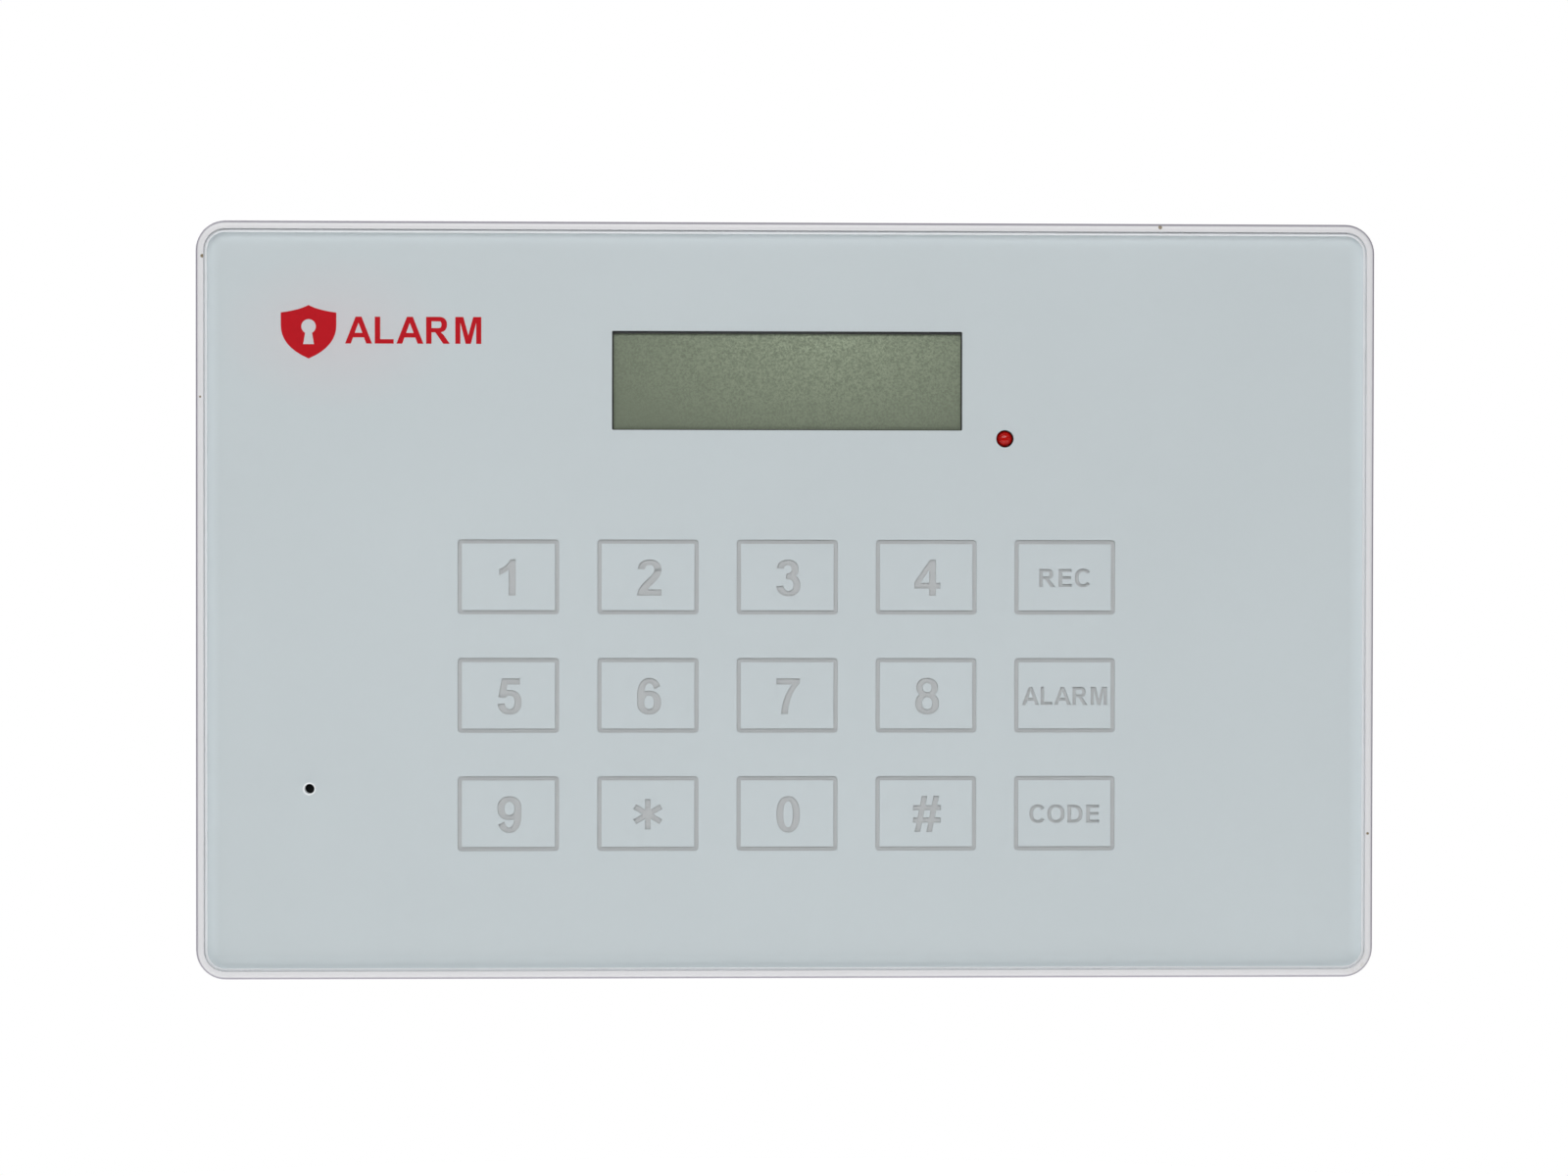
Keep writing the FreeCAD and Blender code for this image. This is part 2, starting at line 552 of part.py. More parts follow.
def power_knob():
    """Ribbed knob of the power switch, at its lower stop."""
    z0 = SWITCH_Z - KNOB_TRAVEL / 2 - KNOB_L / 2
    y0, y1 = knob_y() - KNOB_T / 2, knob_y() + KNOB_T / 2
    x1 = COVER_SIDE_X - 0.1
    knob = block(COVER_WALL_X - 1.5, x1, y0, y1, z0, z0 + KNOB_L)
    grooves = []
    for i in range(3):
        z = z0 + KNOB_L * (i + 1) / 4
        grooves.append(block(x1 - 0.3, x1 + 1, y0 - 1, y1 + 1, z - 0.15, z + 0.15))
    return knob.cut(grooves)


# ---------------------------------------------------------------- speaker and battery
def speaker_gasket():
    return ring(SPEAKER_X, SPEAKER_Z, SPEAKER_R, SPEAKER_R - 2.5, FLOOR_Y - GASKET_T, FLOOR_Y)


def speaker_basket():
    """Speaker frame with its magnet, facing the wall."""
    face_y = FLOOR_Y - GASKET_T
    rim = ring(SPEAKER_X, SPEAKER_Z, SPEAKER_R, SPEAKER_R - 2.5, face_y - 0.8, face_y)
    cup = cone(SPEAKER_X, SPEAKER_Z, 10.0, SPEAKER_R - 1.5, face_y - 3.6, face_y - 0.6)
    inside = cone(SPEAKER_X, SPEAKER_Z, 9.2, SPEAKER_R - 2.3, face_y - 3.0, face_y)
    magnet = disc(SPEAKER_X, SPEAKER_Z, 8.0, face_y - 6.0, face_y - 3.4)
    tab_x0, tab_x1 = SPEAKER_X + 10.0, SPEAKER_X + SPEAKER_TAB_X
    tab = block(tab_x0, tab_x1, LEAD_Y - 1.7, face_y - 2.4, SPEAKER_Z - 4.0, SPEAKER_Z + 4.0)
    return join([rim, cup.fuse(tab).cut(inside), soften(magnet, 0.5, face_y - 6.0)])


def speaker_cone():
    """Film cone with its dust cap."""
    y1 = FLOOR_Y - GASKET_T - 0.2
    radius = SPEAKER_R - 2.6
    outer = cone(SPEAKER_X, SPEAKER_Z, 6.0, radius, y1 - 1.8, y1)
    inner = cone(SPEAKER_X, SPEAKER_Z, 6.0, radius, y1 - 1.5, y1 + 0.3)
    cap = disc(SPEAKER_X, SPEAKER_Z, 6.0, y1 - 1.8, y1 - 1.2)
    return join([outer.cut(inner), cap])


def battery():
    """Flat rechargeable pack."""
    y1 = FLOOR_Y - PAD_T
    pack = slab(BATTERY_X, BATTERY_Z, BATTERY_W, BATTERY_H, y1 - BATTERY_T, y1)
    sides = [e for e in pack.Edges if e.BoundBox.XLength > BATTERY_W - 1]
    return pack.makeFillet(1.8, sides)


def battery_pad():
    """Foam tape under the battery pack."""
    return slab(BATTERY_X, BATTERY_Z, BATTERY_W - 12, BATTERY_H - 10, FLOOR_Y - PAD_T, FLOOR_Y)


def lead_pair(route):
    """Two wires side by side, one above the other in depth."""
    wires = []
    for shift in (-LEAD_GAP, LEAD_GAP):
        points = [Vector(x, LEAD_Y + shift, z) for x, z in route]
        wires.append(wire_run(points, LEAD_R, LEAD_BEND))
    return loose(wires)


def battery_leads():
    x = BATTERY_X + BATTERY_W / 2 - 7.0
    top = BATTERY_Z + BATTERY_H / 2
    return lead_pair([(x, top), (x, BATTERY_PLUG_Z), (PLUG_X, BATTERY_PLUG_Z)])


def speaker_leads():
    start, middle = SPEAKER_X + SPEAKER_TAB_X, -12.0
    route = [(start, SPEAKER_Z), (middle, SPEAKER_Z), (middle, SPEAKER_PLUG_Z)]
    return lead_pair(route + [(PLUG_X, SPEAKER_PLUG_Z)])


def wire_plug(z):
    """White wire plug in its socket on the main board."""
    body = slab(PLUG_X + 3.0, z, 6.0, 5.0, MAIN_BACK_Y, MAIN_BACK_Y + 4.6)
    return body.cut(slab(PLUG_X + 3.0, z, 3.0, 6.0, MAIN_BACK_Y + 3.8, MAIN_BACK_Y + 6))


def battery_plug():
    return wire_plug(BATTERY_PLUG_Z)


def speaker_plug():
    return wire_plug(SPEAKER_PLUG_Z)


# ---------------------------------------------------------------- tamper switch
def tamper_body():
    """Housing of the tamper switch, on the main board."""
    body = slab(TAMPER_X, TAMPER_Z, TAMPER_W, TAMPER_W, MAIN_BACK_Y, TAMPER_FACE_Y)
    pocket = disc(TAMPER_X, TAMPER_Z, COLLAR_R + TAMPER_CLEAR, TAMPER_POCKET_Y, TAMPER_STOP_Y)
    bore = disc(TAMPER_X, TAMPER_Z, PLUNGER_R + TAMPER_CLEAR, TAMPER_STOP_Y - 1, TAMPER_FACE_Y + 1)
    return body.cut([pocket, bore])


def tamper_plunger():
    """Plunger with a collar that stops it in its housing."""
    collar = disc(TAMPER_X, TAMPER_Z, COLLAR_R, COLLAR_Y, COLLAR_Y + COLLAR_T)
    stem = disc(TAMPER_X, TAMPER_Z, PLUNGER_R, COLLAR_Y, PLUNGER_TIP_Y)
    return join([collar, soften(stem, 0.6, PLUNGER_TIP_Y)])


def tamper_spring():
    """Return spring under the plunger's collar."""
    return ring(TAMPER_X, TAMPER_Z, 2.3, 1.8, TAMPER_POCKET_Y, COLLAR_Y)


# ---------------------------------------------------------------- back cover
def grille_holes():
    """Rings of small sound holes in front of the speaker."""
    places = [(0.0, 0.0)]
    for count, radius in ((6, 4.5), (12, 9.0), (18, 13.5)):
        for i in range(count):
            angle = 2 * math.pi * i / count
            places.append((radius * math.cos(angle), radius * math.sin(angle)))
    y0, y1 = FLOOR_Y - 0.5, RECESS_Y + 0.5
    return [disc(SPEAKER_X + dx, SPEAKER_Z + dz, 1.0, y0, y1) for dx, dz in places]


def hook_slots():
    """Slots in the recess floor that the bracket's hooks reach through."""
    height = LIFT + HOOK_NECK + 0.6
    slots = []
    for x in (-HOOK_X, HOOK_X):
        for top in HOOK_Z:
            z = top + HANG_GAP - height / 2
            slots.append(slab(x, z, HOOK_W + 1.0, height, FLOOR_Y - 1, RECESS_Y + 1))
    return slots


def side_vents():
    """Slots in the left side wall that let air and sound out."""
    vents = []
    for i in range(8):
        z = -14.0 + 4.0 * i
        vents.append(block(-COVER_SIDE_X - 1, -COVER_WALL_X + 0.5, -11.0, -4.6, z - 0.8, z + 0.8))
    return vents


def main_posts():
    """Posts under the main board; those in the recess start at its floor."""
    posts = []
    for x, z in MAIN_SCREWS:
        root_y = FLOOR_Y + 0.5 if x < RECESS_W / 2 else COVER_BACK_Y - WALL + 0.5
        posts.append(disc(x, z, BOARD_BOSS_R, MAIN_BACK_Y, root_y))
    return posts


def back_cover():
    """Rear shell: walls, recess for the bracket, posts, and every opening in it."""
    radius = CASE_R - COVER_INSET
    shell = plate(0, 0, COVER_W, COVER_H, radius, SPLIT_Y, COVER_BACK_Y)
    shell = soften(shell, COVER_ROUND, COVER_BACK_Y)
    inner_w, inner_h = COVER_W - 2 * WALL, COVER_H - 2 * WALL
    hollow = plate(0, 0, inner_w, inner_h, radius - WALL, SPLIT_Y - 1, COVER_BACK_Y - WALL)
    kept = plate(0, RECESS_Z, RECESS_W + 2 * WALL, RECESS_H + 2 * WALL, 6.0, FLOOR_Y, COVER_BACK_Y)
    recess = plate(0, RECESS_Z, RECESS_W, RECESS_H, 5.0, RECESS_Y, COVER_BACK_Y + 1)
    shell = shell.cut(hollow.cut(kept)).cut(recess)
    tongue_w, tongue_h = CASE_W - 2 * WALL - 0.3, CASE_H - 2 * WALL - 0.3
    tongue = plate(0, 0, tongue_w, tongue_h, CASE_R - WALL - 0.15, SPLIT_Y - 1.5, SPLIT_Y + 1.5)
    gap = plate(0, 0, inner_w - 0.8, inner_h - 0.8, radius - WALL - 0.4, SPLIT_Y - 2, SPLIT_Y + 2)
    bosses = [disc(x, z, CASE_BOSS_R, SPLIT_Y, COVER_BACK_Y - 1.5) for x, z in CASE_SCREWS]
    shell = join([shell, tongue.cut(gap)] + bosses + main_posts())
    cuts = grille_holes() + hook_slots() + side_vents()
    for x, z in CASE_SCREWS:
        cuts.append(disc(x, z, CASE_SCREW_HEAD_R + 0.3, CASE_SEAT_Y, COVER_BACK_Y + 1))
        cuts.append(disc(x, z, CASE_SCREW_R, SPLIT_Y - 1, CASE_SEAT_Y + 1))
    for x, z in MAIN_SCREWS:
        cuts.append(disc(x, z, BOARD_SCREW_R, MAIN_BACK_Y - 1, MAIN_BACK_Y + 4.2))
    bay_z, bay_h = (BAY_Z0 + BAY_Z1) / 2, BAY_Z1 - BAY_Z0
    cuts.append(plate(TERMINAL_X, bay_z, BAY_W, bay_h, 1.0, FLOOR_Y - 1, RECESS_Y + 1))
    cuts.append(disc(TAMPER_X, TAMPER_Z, PLUNGER_R + 0.4, FLOOR_Y - 1, RECESS_Y + 1))
    cuts.append(rod_x(JACK_Y, JACK_Z, JACK_NOSE_R + 0.15, COVER_WALL_X - 1, COVER_SIDE_X + 1))
    slot_l = KNOB_L + KNOB_TRAVEL + 2 * KNOB_GAP
    slot_t = KNOB_T + 2 * KNOB_GAP
    y0, z0 = knob_y() - slot_t / 2, SWITCH_Z - slot_l / 2
    cuts.append(block(COVER_WALL_X - 1, COVER_SIDE_X + 1, y0, y0 + slot_t, z0, z0 + slot_l))
    return shell.cut(cuts)


def case_screws():
    r, head_r, head_t = CASE_SCREW_R, CASE_SCREW_HEAD_R, CASE_SCREW_HEAD_T
    end = CASE_SCREW_END_Y
    return loose([screw(x, z, r, head_r, head_t, CASE_SEAT_Y, end, False) for x, z in CASE_SCREWS])


# ---------------------------------------------------------------- wall bracket
def hook(x, top):
    """A neck through the slot, and a tip that stands up behind the recess floor."""
    tip_back_y = FLOOR_Y - HOOK_GAP
    tip_front_y = tip_back_y - HOOK_LIP_T
    x0, x1 = x - HOOK_W / 2, x + HOOK_W / 2
    neck = block(x0, x1, tip_front_y, -BRACKET_T + 0.5, top - HOOK_NECK, top)
    tip = block(x0, x1, tip_front_y, tip_back_y, top - HOOK_NECK, top + HOOK_TIP)
    return [neck, tip]


def wall_bracket():
    """Plate that screws to the wall, with a stiffening rim, four hooks and two windows."""
    base = plate(0, BRACKET_Z, BRACKET_W, BRACKET_H, 5.0, -BRACKET_T, 0)
    rib_y = -BRACKET_T - BRACKET_RIB
    rim = plate(0, BRACKET_Z, BRACKET_W, BRACKET_H, 5.0, rib_y, -BRACKET_T)
    rim = rim.cut(plate(0, BRACKET_Z, BRACKET_W - 4, BRACKET_H - 4, 3.0, rib_y - 1, 0))
    parts = [base, rim]
    windows = [
        (CABLE_X, CABLE_Z, CABLE_W, CABLE_H),
        (SPEAKER_X, SPEAKER_Z, SOUND_W, SOUND_H),
    ]
    for x, z, width, height in windows:
        edge_w, edge_h = width + 2 * WINDOW_RIM, height + 2 * WINDOW_RIM
        parts.append(plate(x, z, edge_w, edge_h, 4.0, rib_y, -BRACKET_T))
    for x in (-WALL_HOLE_X, WALL_HOLE_X):
        for z in (BRACKET_Z - WALL_HOLE_Z, BRACKET_Z + WALL_HOLE_Z):
            parts.append(disc(x, z, WALL_HOLE_R + 2.0, rib_y, -BRACKET_T))
    for x in (-HOOK_X, HOOK_X):
        for top in HOOK_Z:
            parts += hook(x, top)
    bracket = join(parts)
    cuts = [plate(x, z, w, h, 2.0, rib_y - 1, 1) for x, z, w, h in windows]
    for x in (-WALL_HOLE_X, WALL_HOLE_X):
        for z in (BRACKET_Z - WALL_HOLE_Z, BRACKET_Z + WALL_HOLE_Z):
            cuts.append(disc(x, z, WALL_HOLE_R, rib_y - 1, 1))
    low = BRACKET_Z - BRACKET_H / 2
    notch_top = TAMPER_Z + LIFT + 3.5
    cuts.append(block(TAMPER_X - 4, TAMPER_X + 4, rib_y - 1, 1, low - 1, notch_top))
    cuts.append(slab(CABLE_X, BRACKET_Z, GROOVE_W, BRACKET_H + 2, -GROOVE_D, 1))
    return bracket.cut(cuts)


PIECES = [
    wall_bracket,
    front_frame, touch_panel, graphic_film, light_diffuser, panel_tape,
    lcd_bezel, lcd_glass, lcd_backlight, lcd_contact_strip,
    keypad_board, touch_springs, key_lights, touch_chips, status_led, led_sleeve,
    microphone, mic_boot, board_socket, keypad_board_screws,
    main_board, main_board_screws, board_header, processor, radio_board, radio_shield,
    antenna, capacitors, power_inductor, terminal_block, terminal_screws,
    dc_jack, dc_jack_pin, switch_body, power_knob,
    speaker_gasket, speaker_basket, speaker_cone, battery, battery_pad,
    battery_leads, speaker_leads, battery_plug, speaker_plug,
    tamper_body, tamper_plunger, tamper_spring,
    back_cover, case_screws,
]

os.makedirs("parts", exist_ok=True)
for piece in PIECES:
    shape = piece()
    name = piece.__name__
    shape.exportStep("parts/" + name + ".step")
    print(f"{name:22s} solids {len(shape.Solids):2d}  volume {shape.Volume:10.1f}  valid {shape.isValid()}")
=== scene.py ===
"""The looks of a wall-mounted alarm keypad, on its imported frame. Metres, Z up, the front faces -Y."""
import json
import math

import bpy
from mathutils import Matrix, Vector
from mathutils.geometry import delaunay_2d_cdt, interpolate_bezier


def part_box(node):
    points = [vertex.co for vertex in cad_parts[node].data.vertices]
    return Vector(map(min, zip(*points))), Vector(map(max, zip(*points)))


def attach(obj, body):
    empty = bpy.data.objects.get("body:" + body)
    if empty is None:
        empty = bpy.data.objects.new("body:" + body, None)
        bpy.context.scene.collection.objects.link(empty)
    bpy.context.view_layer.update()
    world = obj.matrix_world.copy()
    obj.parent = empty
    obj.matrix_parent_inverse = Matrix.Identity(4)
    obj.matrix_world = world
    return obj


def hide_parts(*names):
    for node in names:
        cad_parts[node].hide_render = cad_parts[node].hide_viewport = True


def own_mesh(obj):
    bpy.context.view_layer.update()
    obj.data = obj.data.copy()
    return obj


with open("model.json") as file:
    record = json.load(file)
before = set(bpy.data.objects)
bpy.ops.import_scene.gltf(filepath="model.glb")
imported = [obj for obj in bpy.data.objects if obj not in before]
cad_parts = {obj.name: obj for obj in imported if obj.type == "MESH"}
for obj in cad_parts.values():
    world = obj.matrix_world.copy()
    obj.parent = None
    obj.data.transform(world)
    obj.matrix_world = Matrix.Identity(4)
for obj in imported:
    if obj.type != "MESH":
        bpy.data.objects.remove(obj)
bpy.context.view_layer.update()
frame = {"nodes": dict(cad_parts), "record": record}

MM = 0.001
NODES = frame["nodes"]


# ---------------------------------------------------------------- sizes, in millimetres
KEY_PITCH_X = 22.72
KEY_PITCH_Z = 19.31
KEY_W = 16.5
KEY_H = 12.2
KEY_BAND = 0.68                   # width of the thin frame round each key
KEY_CORNER = 0.6
KEY_MID_Z = -15.44
KEY_ROWS = [["1", "2", "3", "4", "REC"], ["5", "6", "7", "8", "ALARM"], ["9", "*", "0", "#", "CODE"]]
KEY_COLUMNS = len(KEY_ROWS[0])
DIGIT_H = 5.9
LETTER_H = 2.95
DIGIT_SHIFT = 0.18                # the digits stand this far right of their keys' middles
LEGEND_DROP = 0.1                 # and every legend this far below it
WORD_W = 13.92                    # widest a key's word may be; a longer one is squeezed
STAR_R = 2.48
STAR_ARM = 0.45                   # half the width of the star's arms

FILM_CORNER = 3.3
FILM_SEAT = 0.18                  # clear glue between the film and the touch panel
WINDOW_W = 57.17
WINDOW_H = 16.13
WINDOW_X = -0.03
WINDOW_Z = 35.90
WINDOW_CORNER = 0.2
LED_HOLE_R = 1.43
MIC_HOLE_R = 0.8

MARK_X = -82.36                   # left edge of the red shield
MARK_W = 9.0
MARK_TOP = 48.0
MARK_BOTTOM = 39.29
MARK_WORD = "ALARM"
MARK_WORD_X = -71.96
MARK_WORD_Z = 41.75
MARK_WORD_H = 4.38

TOUCH_R = 3.25                    # a contact spring's radius, its wire's own radius, and its turns
TOUCH_WIRE = 0.22
TOUCH_TURNS = 6.0
RETURN_WIRE = 0.18                # the plunger's spring: its wire's own radius, and its turns
RETURN_TURNS = 7.0


def key_middle(row, column):
    """X and Z of a key's middle. Rows count from the top, and columns from the left."""
    x = (column - (KEY_COLUMNS - 1) / 2) * KEY_PITCH_X
    z = KEY_MID_Z + ((len(KEY_ROWS) - 1) / 2 - row) * KEY_PITCH_Z
    return x, z


# ---------------------------------------------------------------- camera, light and floor
CAMERA_AT = (-0.01898, -0.61278, 0.00958)
CAMERA_AIM = (-0.00059, -0.026, 0.00211)
CAMERA_ROLL = 0.0013              # radians, anticlockwise
CAMERA_LENS = 82.79

ROOM_LIGHT = 0.28                 # brightness of the room to the object's sides, above it and behind it
ROOM_DARK = 0.03                  # brightness straight in front of the object
ROOM_FADE = (-0.97, -0.55)        # Y of the direction in which the dark part ends and the light one starts
BACKDROP = 1.0                    # brightness of what the camera sees past the object
FLOOR_Z = -0.25
FLOOR_R = 0.9
FLOOR_WHITE = 0.86
FLOOR_GLOW = 0.5
WINDOW_LIGHT = {"place": (-0.15, -1.25, 0.78), "width": 1.5, "height": 0.7, "power": 15.2}
BACK_LIGHT = {"place": (-0.7, 1.2, 0.7), "width": 1.2, "height": 1.0, "power": 9.0}


def aim(thing, target):
    thing.rotation_euler = (Vector(target) - thing.location).to_track_quat("-Z", "Y").to_euler()


def add_camera():
    data = bpy.data.cameras.new("camera")
    data.lens = CAMERA_LENS
    data.sensor_width = 36.0
    data.clip_start = 0.01
    camera = bpy.data.objects.new("camera", data)
    camera.location = CAMERA_AT
    aim(camera, CAMERA_AIM)
    camera.rotation_euler.rotate_axis("Z", CAMERA_ROLL)
    bpy.context.scene.collection.objects.link(camera)
    bpy.context.scene.camera = camera


def add_area_light(name, place, width, height, power):
    """A soft light that shines on the object from its place."""
    data = bpy.data.lights.new(name, "AREA")
    data.shape = "RECTANGLE"
    data.size = width
    data.size_y = height
    data.energy = power
    light = bpy.data.objects.new(name, data)
    light.location = place
    aim(light, (0.0, 0.0, 0.0))
    bpy.context.scene.collection.objects.link(light)


def add_room():
    """A pale room, dark in front of the object so that its gloss stays clear, and a white backdrop."""
    world = bpy.data.worlds.new("room")
    bpy.context.scene.world = world
    world.use_nodes = True
    tree = world.node_tree
    tree.nodes.clear()
    seen = tree.nodes.new("ShaderNodeLightPath")
    way = tree.nodes.new("ShaderNodeTexCoord")
    split = tree.nodes.new("ShaderNodeSeparateXYZ")
    tree.links.new(way.outputs["Generated"], split.inputs[0])
    level = tree.nodes.new("ShaderNodeMapRange")
    level.interpolation_type = "SMOOTHSTEP"
    tree.links.new(split.outputs["Y"], level.inputs["Value"])
    for key, value in zip(("From Min", "From Max", "To Min", "To Max"), (*ROOM_FADE, ROOM_DARK, ROOM_LIGHT)):
        level.inputs[key].default_value = value
    room = tree.nodes.new("ShaderNodeBackground")
    tree.links.new(level.outputs[0], room.inputs["Strength"])
    backdrop = tree.nodes.new("ShaderNodeBackground")
    backdrop.inputs["Strength"].default_value = BACKDROP
    for background in (room, backdrop):
        background.inputs["Color"].default_value = (1.0, 1.0, 1.0, 1.0)
    mix = tree.nodes.new("ShaderNodeMixShader")
    out = tree.nodes.new("ShaderNodeOutputWorld")
    tree.links.new(seen.outputs["Is Camera Ray"], mix.inputs["Fac"])
    tree.links.new(room.outputs[0], mix.inputs[1])
    tree.links.new(backdrop.outputs[0], mix.inputs[2])
    tree.links.new(mix.outputs[0], out.inputs[0])
    bpy.context.scene.view_settings.view_transform = "Standard"


def add_floor():
    mesh = bpy.data.meshes.new("floor")
    rim = disc(0.0, 0.0, FLOOR_R, 96)
    mesh.from_pydata([(x, y, FLOOR_Z) for x, y in rim], [], [range(len(rim))])
    floor = bpy.data.objects.new("floor", mesh)
    bpy.context.scene.collection.objects.link(floor)
    paint, shader = new_material("floor_paint")
    shader.inputs["Base Color"].default_value = (FLOOR_WHITE, FLOOR_WHITE, FLOOR_WHITE, 1.0)
    shader.inputs["Roughness"].default_value = 0.9
    shader.inputs["Emission Color"].default_value = (1.0, 1.0, 1.0, 1.0)
    shader.inputs["Emission Strength"].default_value = FLOOR_GLOW
    mesh.materials.append(paint.material)


# ---------------------------------------------------------------- material tools
class Paint:
    """A material's node tree, with short calls for the textures that the finishes below share."""

    def __init__(self, name):
        self.material = bpy.data.materials.new(name)
        self.material.use_nodes = True
        self.tree = self.material.node_tree
        self.tree.nodes.clear()
        self.out = self.tree.nodes.new("ShaderNodeOutputMaterial")
        self.place = self.tree.nodes.new("ShaderNodeTexCoord").outputs["Object"]

    def node(self, kind, **inputs):
        made = self.tree.nodes.new(kind)
        for key, value in inputs.items():
            self.feed(made.inputs[key.replace("_", " ")], value)
        return made

    def feed(self, socket, value):
        if isinstance(value, bpy.types.NodeSocket):
            self.tree.links.new(value, socket)
        else:
            socket.default_value = value

    def stretched(self, scale):
        """The place on the piece, in millimetres, stretched by a factor along each axis."""
        mapping = self.node("ShaderNodeMapping", Vector=self.place)
        mapping.inputs["Scale"].default_value = [s / MM for s in scale]
        return mapping.outputs[0]

    def noise(self, size, detail=2.0, roughness=0.5, scale=(1, 1, 1)):
        """Cloudy noise from 0 to 1, with patches about size millimetres across."""
        texture = self.node("ShaderNodeTexNoise", Vector=self.stretched(scale), Scale=1.0 / size)
        texture.inputs["Detail"].default_value = detail
        texture.inputs["Roughness"].default_value = roughness
        return texture.outputs["Fac"]

    def specks(self, pitch, radius, seed=0.0):
        """1 on sparse round dots, 0 elsewhere. pitch and radius are in millimetres."""
        moved = self.node("ShaderNodeVectorMath", Vector=self.stretched((1, 1, 1)))
        moved.operation = "ADD"
        moved.inputs[1].default_value = (seed, seed, seed)
        texture = self.node("ShaderNodeTexVoronoi", Vector=moved.outputs[0], Scale=1.0 / pitch)
        return self.span(texture.outputs["Distance"], radius / pitch, 0.5 * radius / pitch, 0.0, 1.0)

    def span(self, value, low, high, to_low, to_high):
        """value from low..high, mapped to to_low..to_high and held there beyond both ends."""
        ranged = self.node("ShaderNodeMapRange", Value=value)
        for key, number in (("From Min", low), ("From Max", high), ("To Min", to_low), ("To Max", to_high)):
            ranged.inputs[key].default_value = number
        return ranged.outputs[0]

    def maths(self, operation, first, second):
        made = self.tree.nodes.new("ShaderNodeMath")
        made.operation = operation
        self.feed(made.inputs[0], first)
        self.feed(made.inputs[1], second)
        return made.outputs[0]

    def mix(self, amount, first, second):
        """The first colour, and the second where amount is 1."""
        made = self.tree.nodes.new("ShaderNodeMix")
        made.data_type = "RGBA"
        self.feed(made.inputs[0], amount)
        for socket, colour in ((made.inputs[6], first), (made.inputs[7], second)):
            self.feed(socket, colour if isinstance(colour, bpy.types.NodeSocket) else (*colour, 1.0))
        return made.outputs[2]

    def near(self, centre, radius, reach=(1, 1, 1)):
        """1 at centre, falling to 0 at radius. All in millimetres, with the distance squeezed by reach."""
        placed = self.node("ShaderNodeVectorMath")
        placed.operation = "DISTANCE"
        self.feed(placed.inputs[0], self.stretched([1 / r for r in reach]))
        placed.inputs[1].default_value = [c / r for c, r in zip(centre, reach)]
        return self.span(placed.outputs["Value"], 0.0, radius, 1.0, 0.0)

    def bump(self, height, depth):
        """A normal from height times depth, in millimetres."""
        made = self.node("ShaderNodeBump", Height=height)
        made.inputs["Strength"].default_value = 1.0
        made.inputs["Distance"].default_value = depth * MM
        return made.outputs[0]

    def part_facing(self, low, high):
        """1 where the surface faces along Y, and 0 where it faces up, down or sideways."""
        normal = self.tree.nodes.new("ShaderNodeNewGeometry").outputs["Normal"]
        split = self.node("ShaderNodeSeparateXYZ", Vector=normal)
        along = self.maths("ABSOLUTE", split.outputs["Y"], 0.0)
        return self.span(along, low, high, 0.0, 1.0)

    def surface(self, shader):
        self.tree.links.new(shader, self.out.inputs[0])


def toned(colour, factor):
    return [c * factor for c in colour]


def new_material(name):
    paint = Paint(name)
    shader = paint.node("ShaderNodeBsdfPrincipled")
    paint.surface(shader.outputs[0])
    return paint, shader


# ---------------------------------------------------------------- finishes
def moulded(name, colour, rough, grain, depth, cloud=0.03):
    """Moulded plastic: faint clouds in the colour, a grain, and a gloss that varies a little.

    grain is the grain's size and depth its depth, in millimetres."""
    paint, shader = new_material(name)
    body = paint.mix(paint.noise(14.0, 4.0), toned(colour, 1.0 - cloud), toned(colour, 1.0 + cloud))
    paint.feed(shader.inputs["Base Color"], body)
    gloss = paint.span(paint.noise(5.0, 5.0), 0.3, 0.7, rough * 0.9, rough * 1.12)
    paint.feed(shader.inputs["Roughness"], gloss)
    paint.feed(shader.inputs["Normal"], paint.bump(paint.noise(grain, 3.0, 0.6), depth))
    return paint.material


SCRATCH_SIZE, SCRATCH_DEPTH = 0.25, 0.003


def metal(name, colour, rough, drawn=(1, 1, 1)):
    """Metal with fine scratches, drawn out along the axes where drawn is small, and a faint tarnish."""
    paint, shader = new_material(name)
    tarnish = paint.span(paint.noise(4.0, 5.0), 0.45, 0.75, 0.0, 0.5)
    lines = paint.noise(SCRATCH_SIZE, 4.0, 0.7, drawn)
    paint.feed(shader.inputs["Base Color"], paint.mix(tarnish, colour, toned(colour, 0.78)))
    shader.inputs["Metallic"].default_value = 1.0
    paint.feed(shader.inputs["Roughness"], paint.span(lines, 0.3, 0.7, rough * 0.8, rough * 1.25))
    paint.feed(shader.inputs["Normal"], paint.bump(lines, SCRATCH_DEPTH))
    return paint.material


def soft(name, colour, cell, depth, rough):
    """Foam or rubber: small cells in the surface, with a dull sheen. cell and depth are in millimetres."""
    paint, shader = new_material(name)
    cells = paint.node("ShaderNodeTexVoronoi", Vector=paint.stretched((1, 1, 1)), Scale=1.0 / cell)
    pits = cells.outputs["Distance"]
    paint.feed(shader.inputs["Base Color"], paint.mix(paint.noise(6.0, 3.0), toned(colour, 0.9), colour))
    paint.feed(shader.inputs["Roughness"], paint.span(pits, 0.0, 0.7, rough * 0.9, min(rough * 1.1, 1.0)))
    paint.feed(shader.inputs["Normal"], paint.bump(pits, depth))
    return paint.material


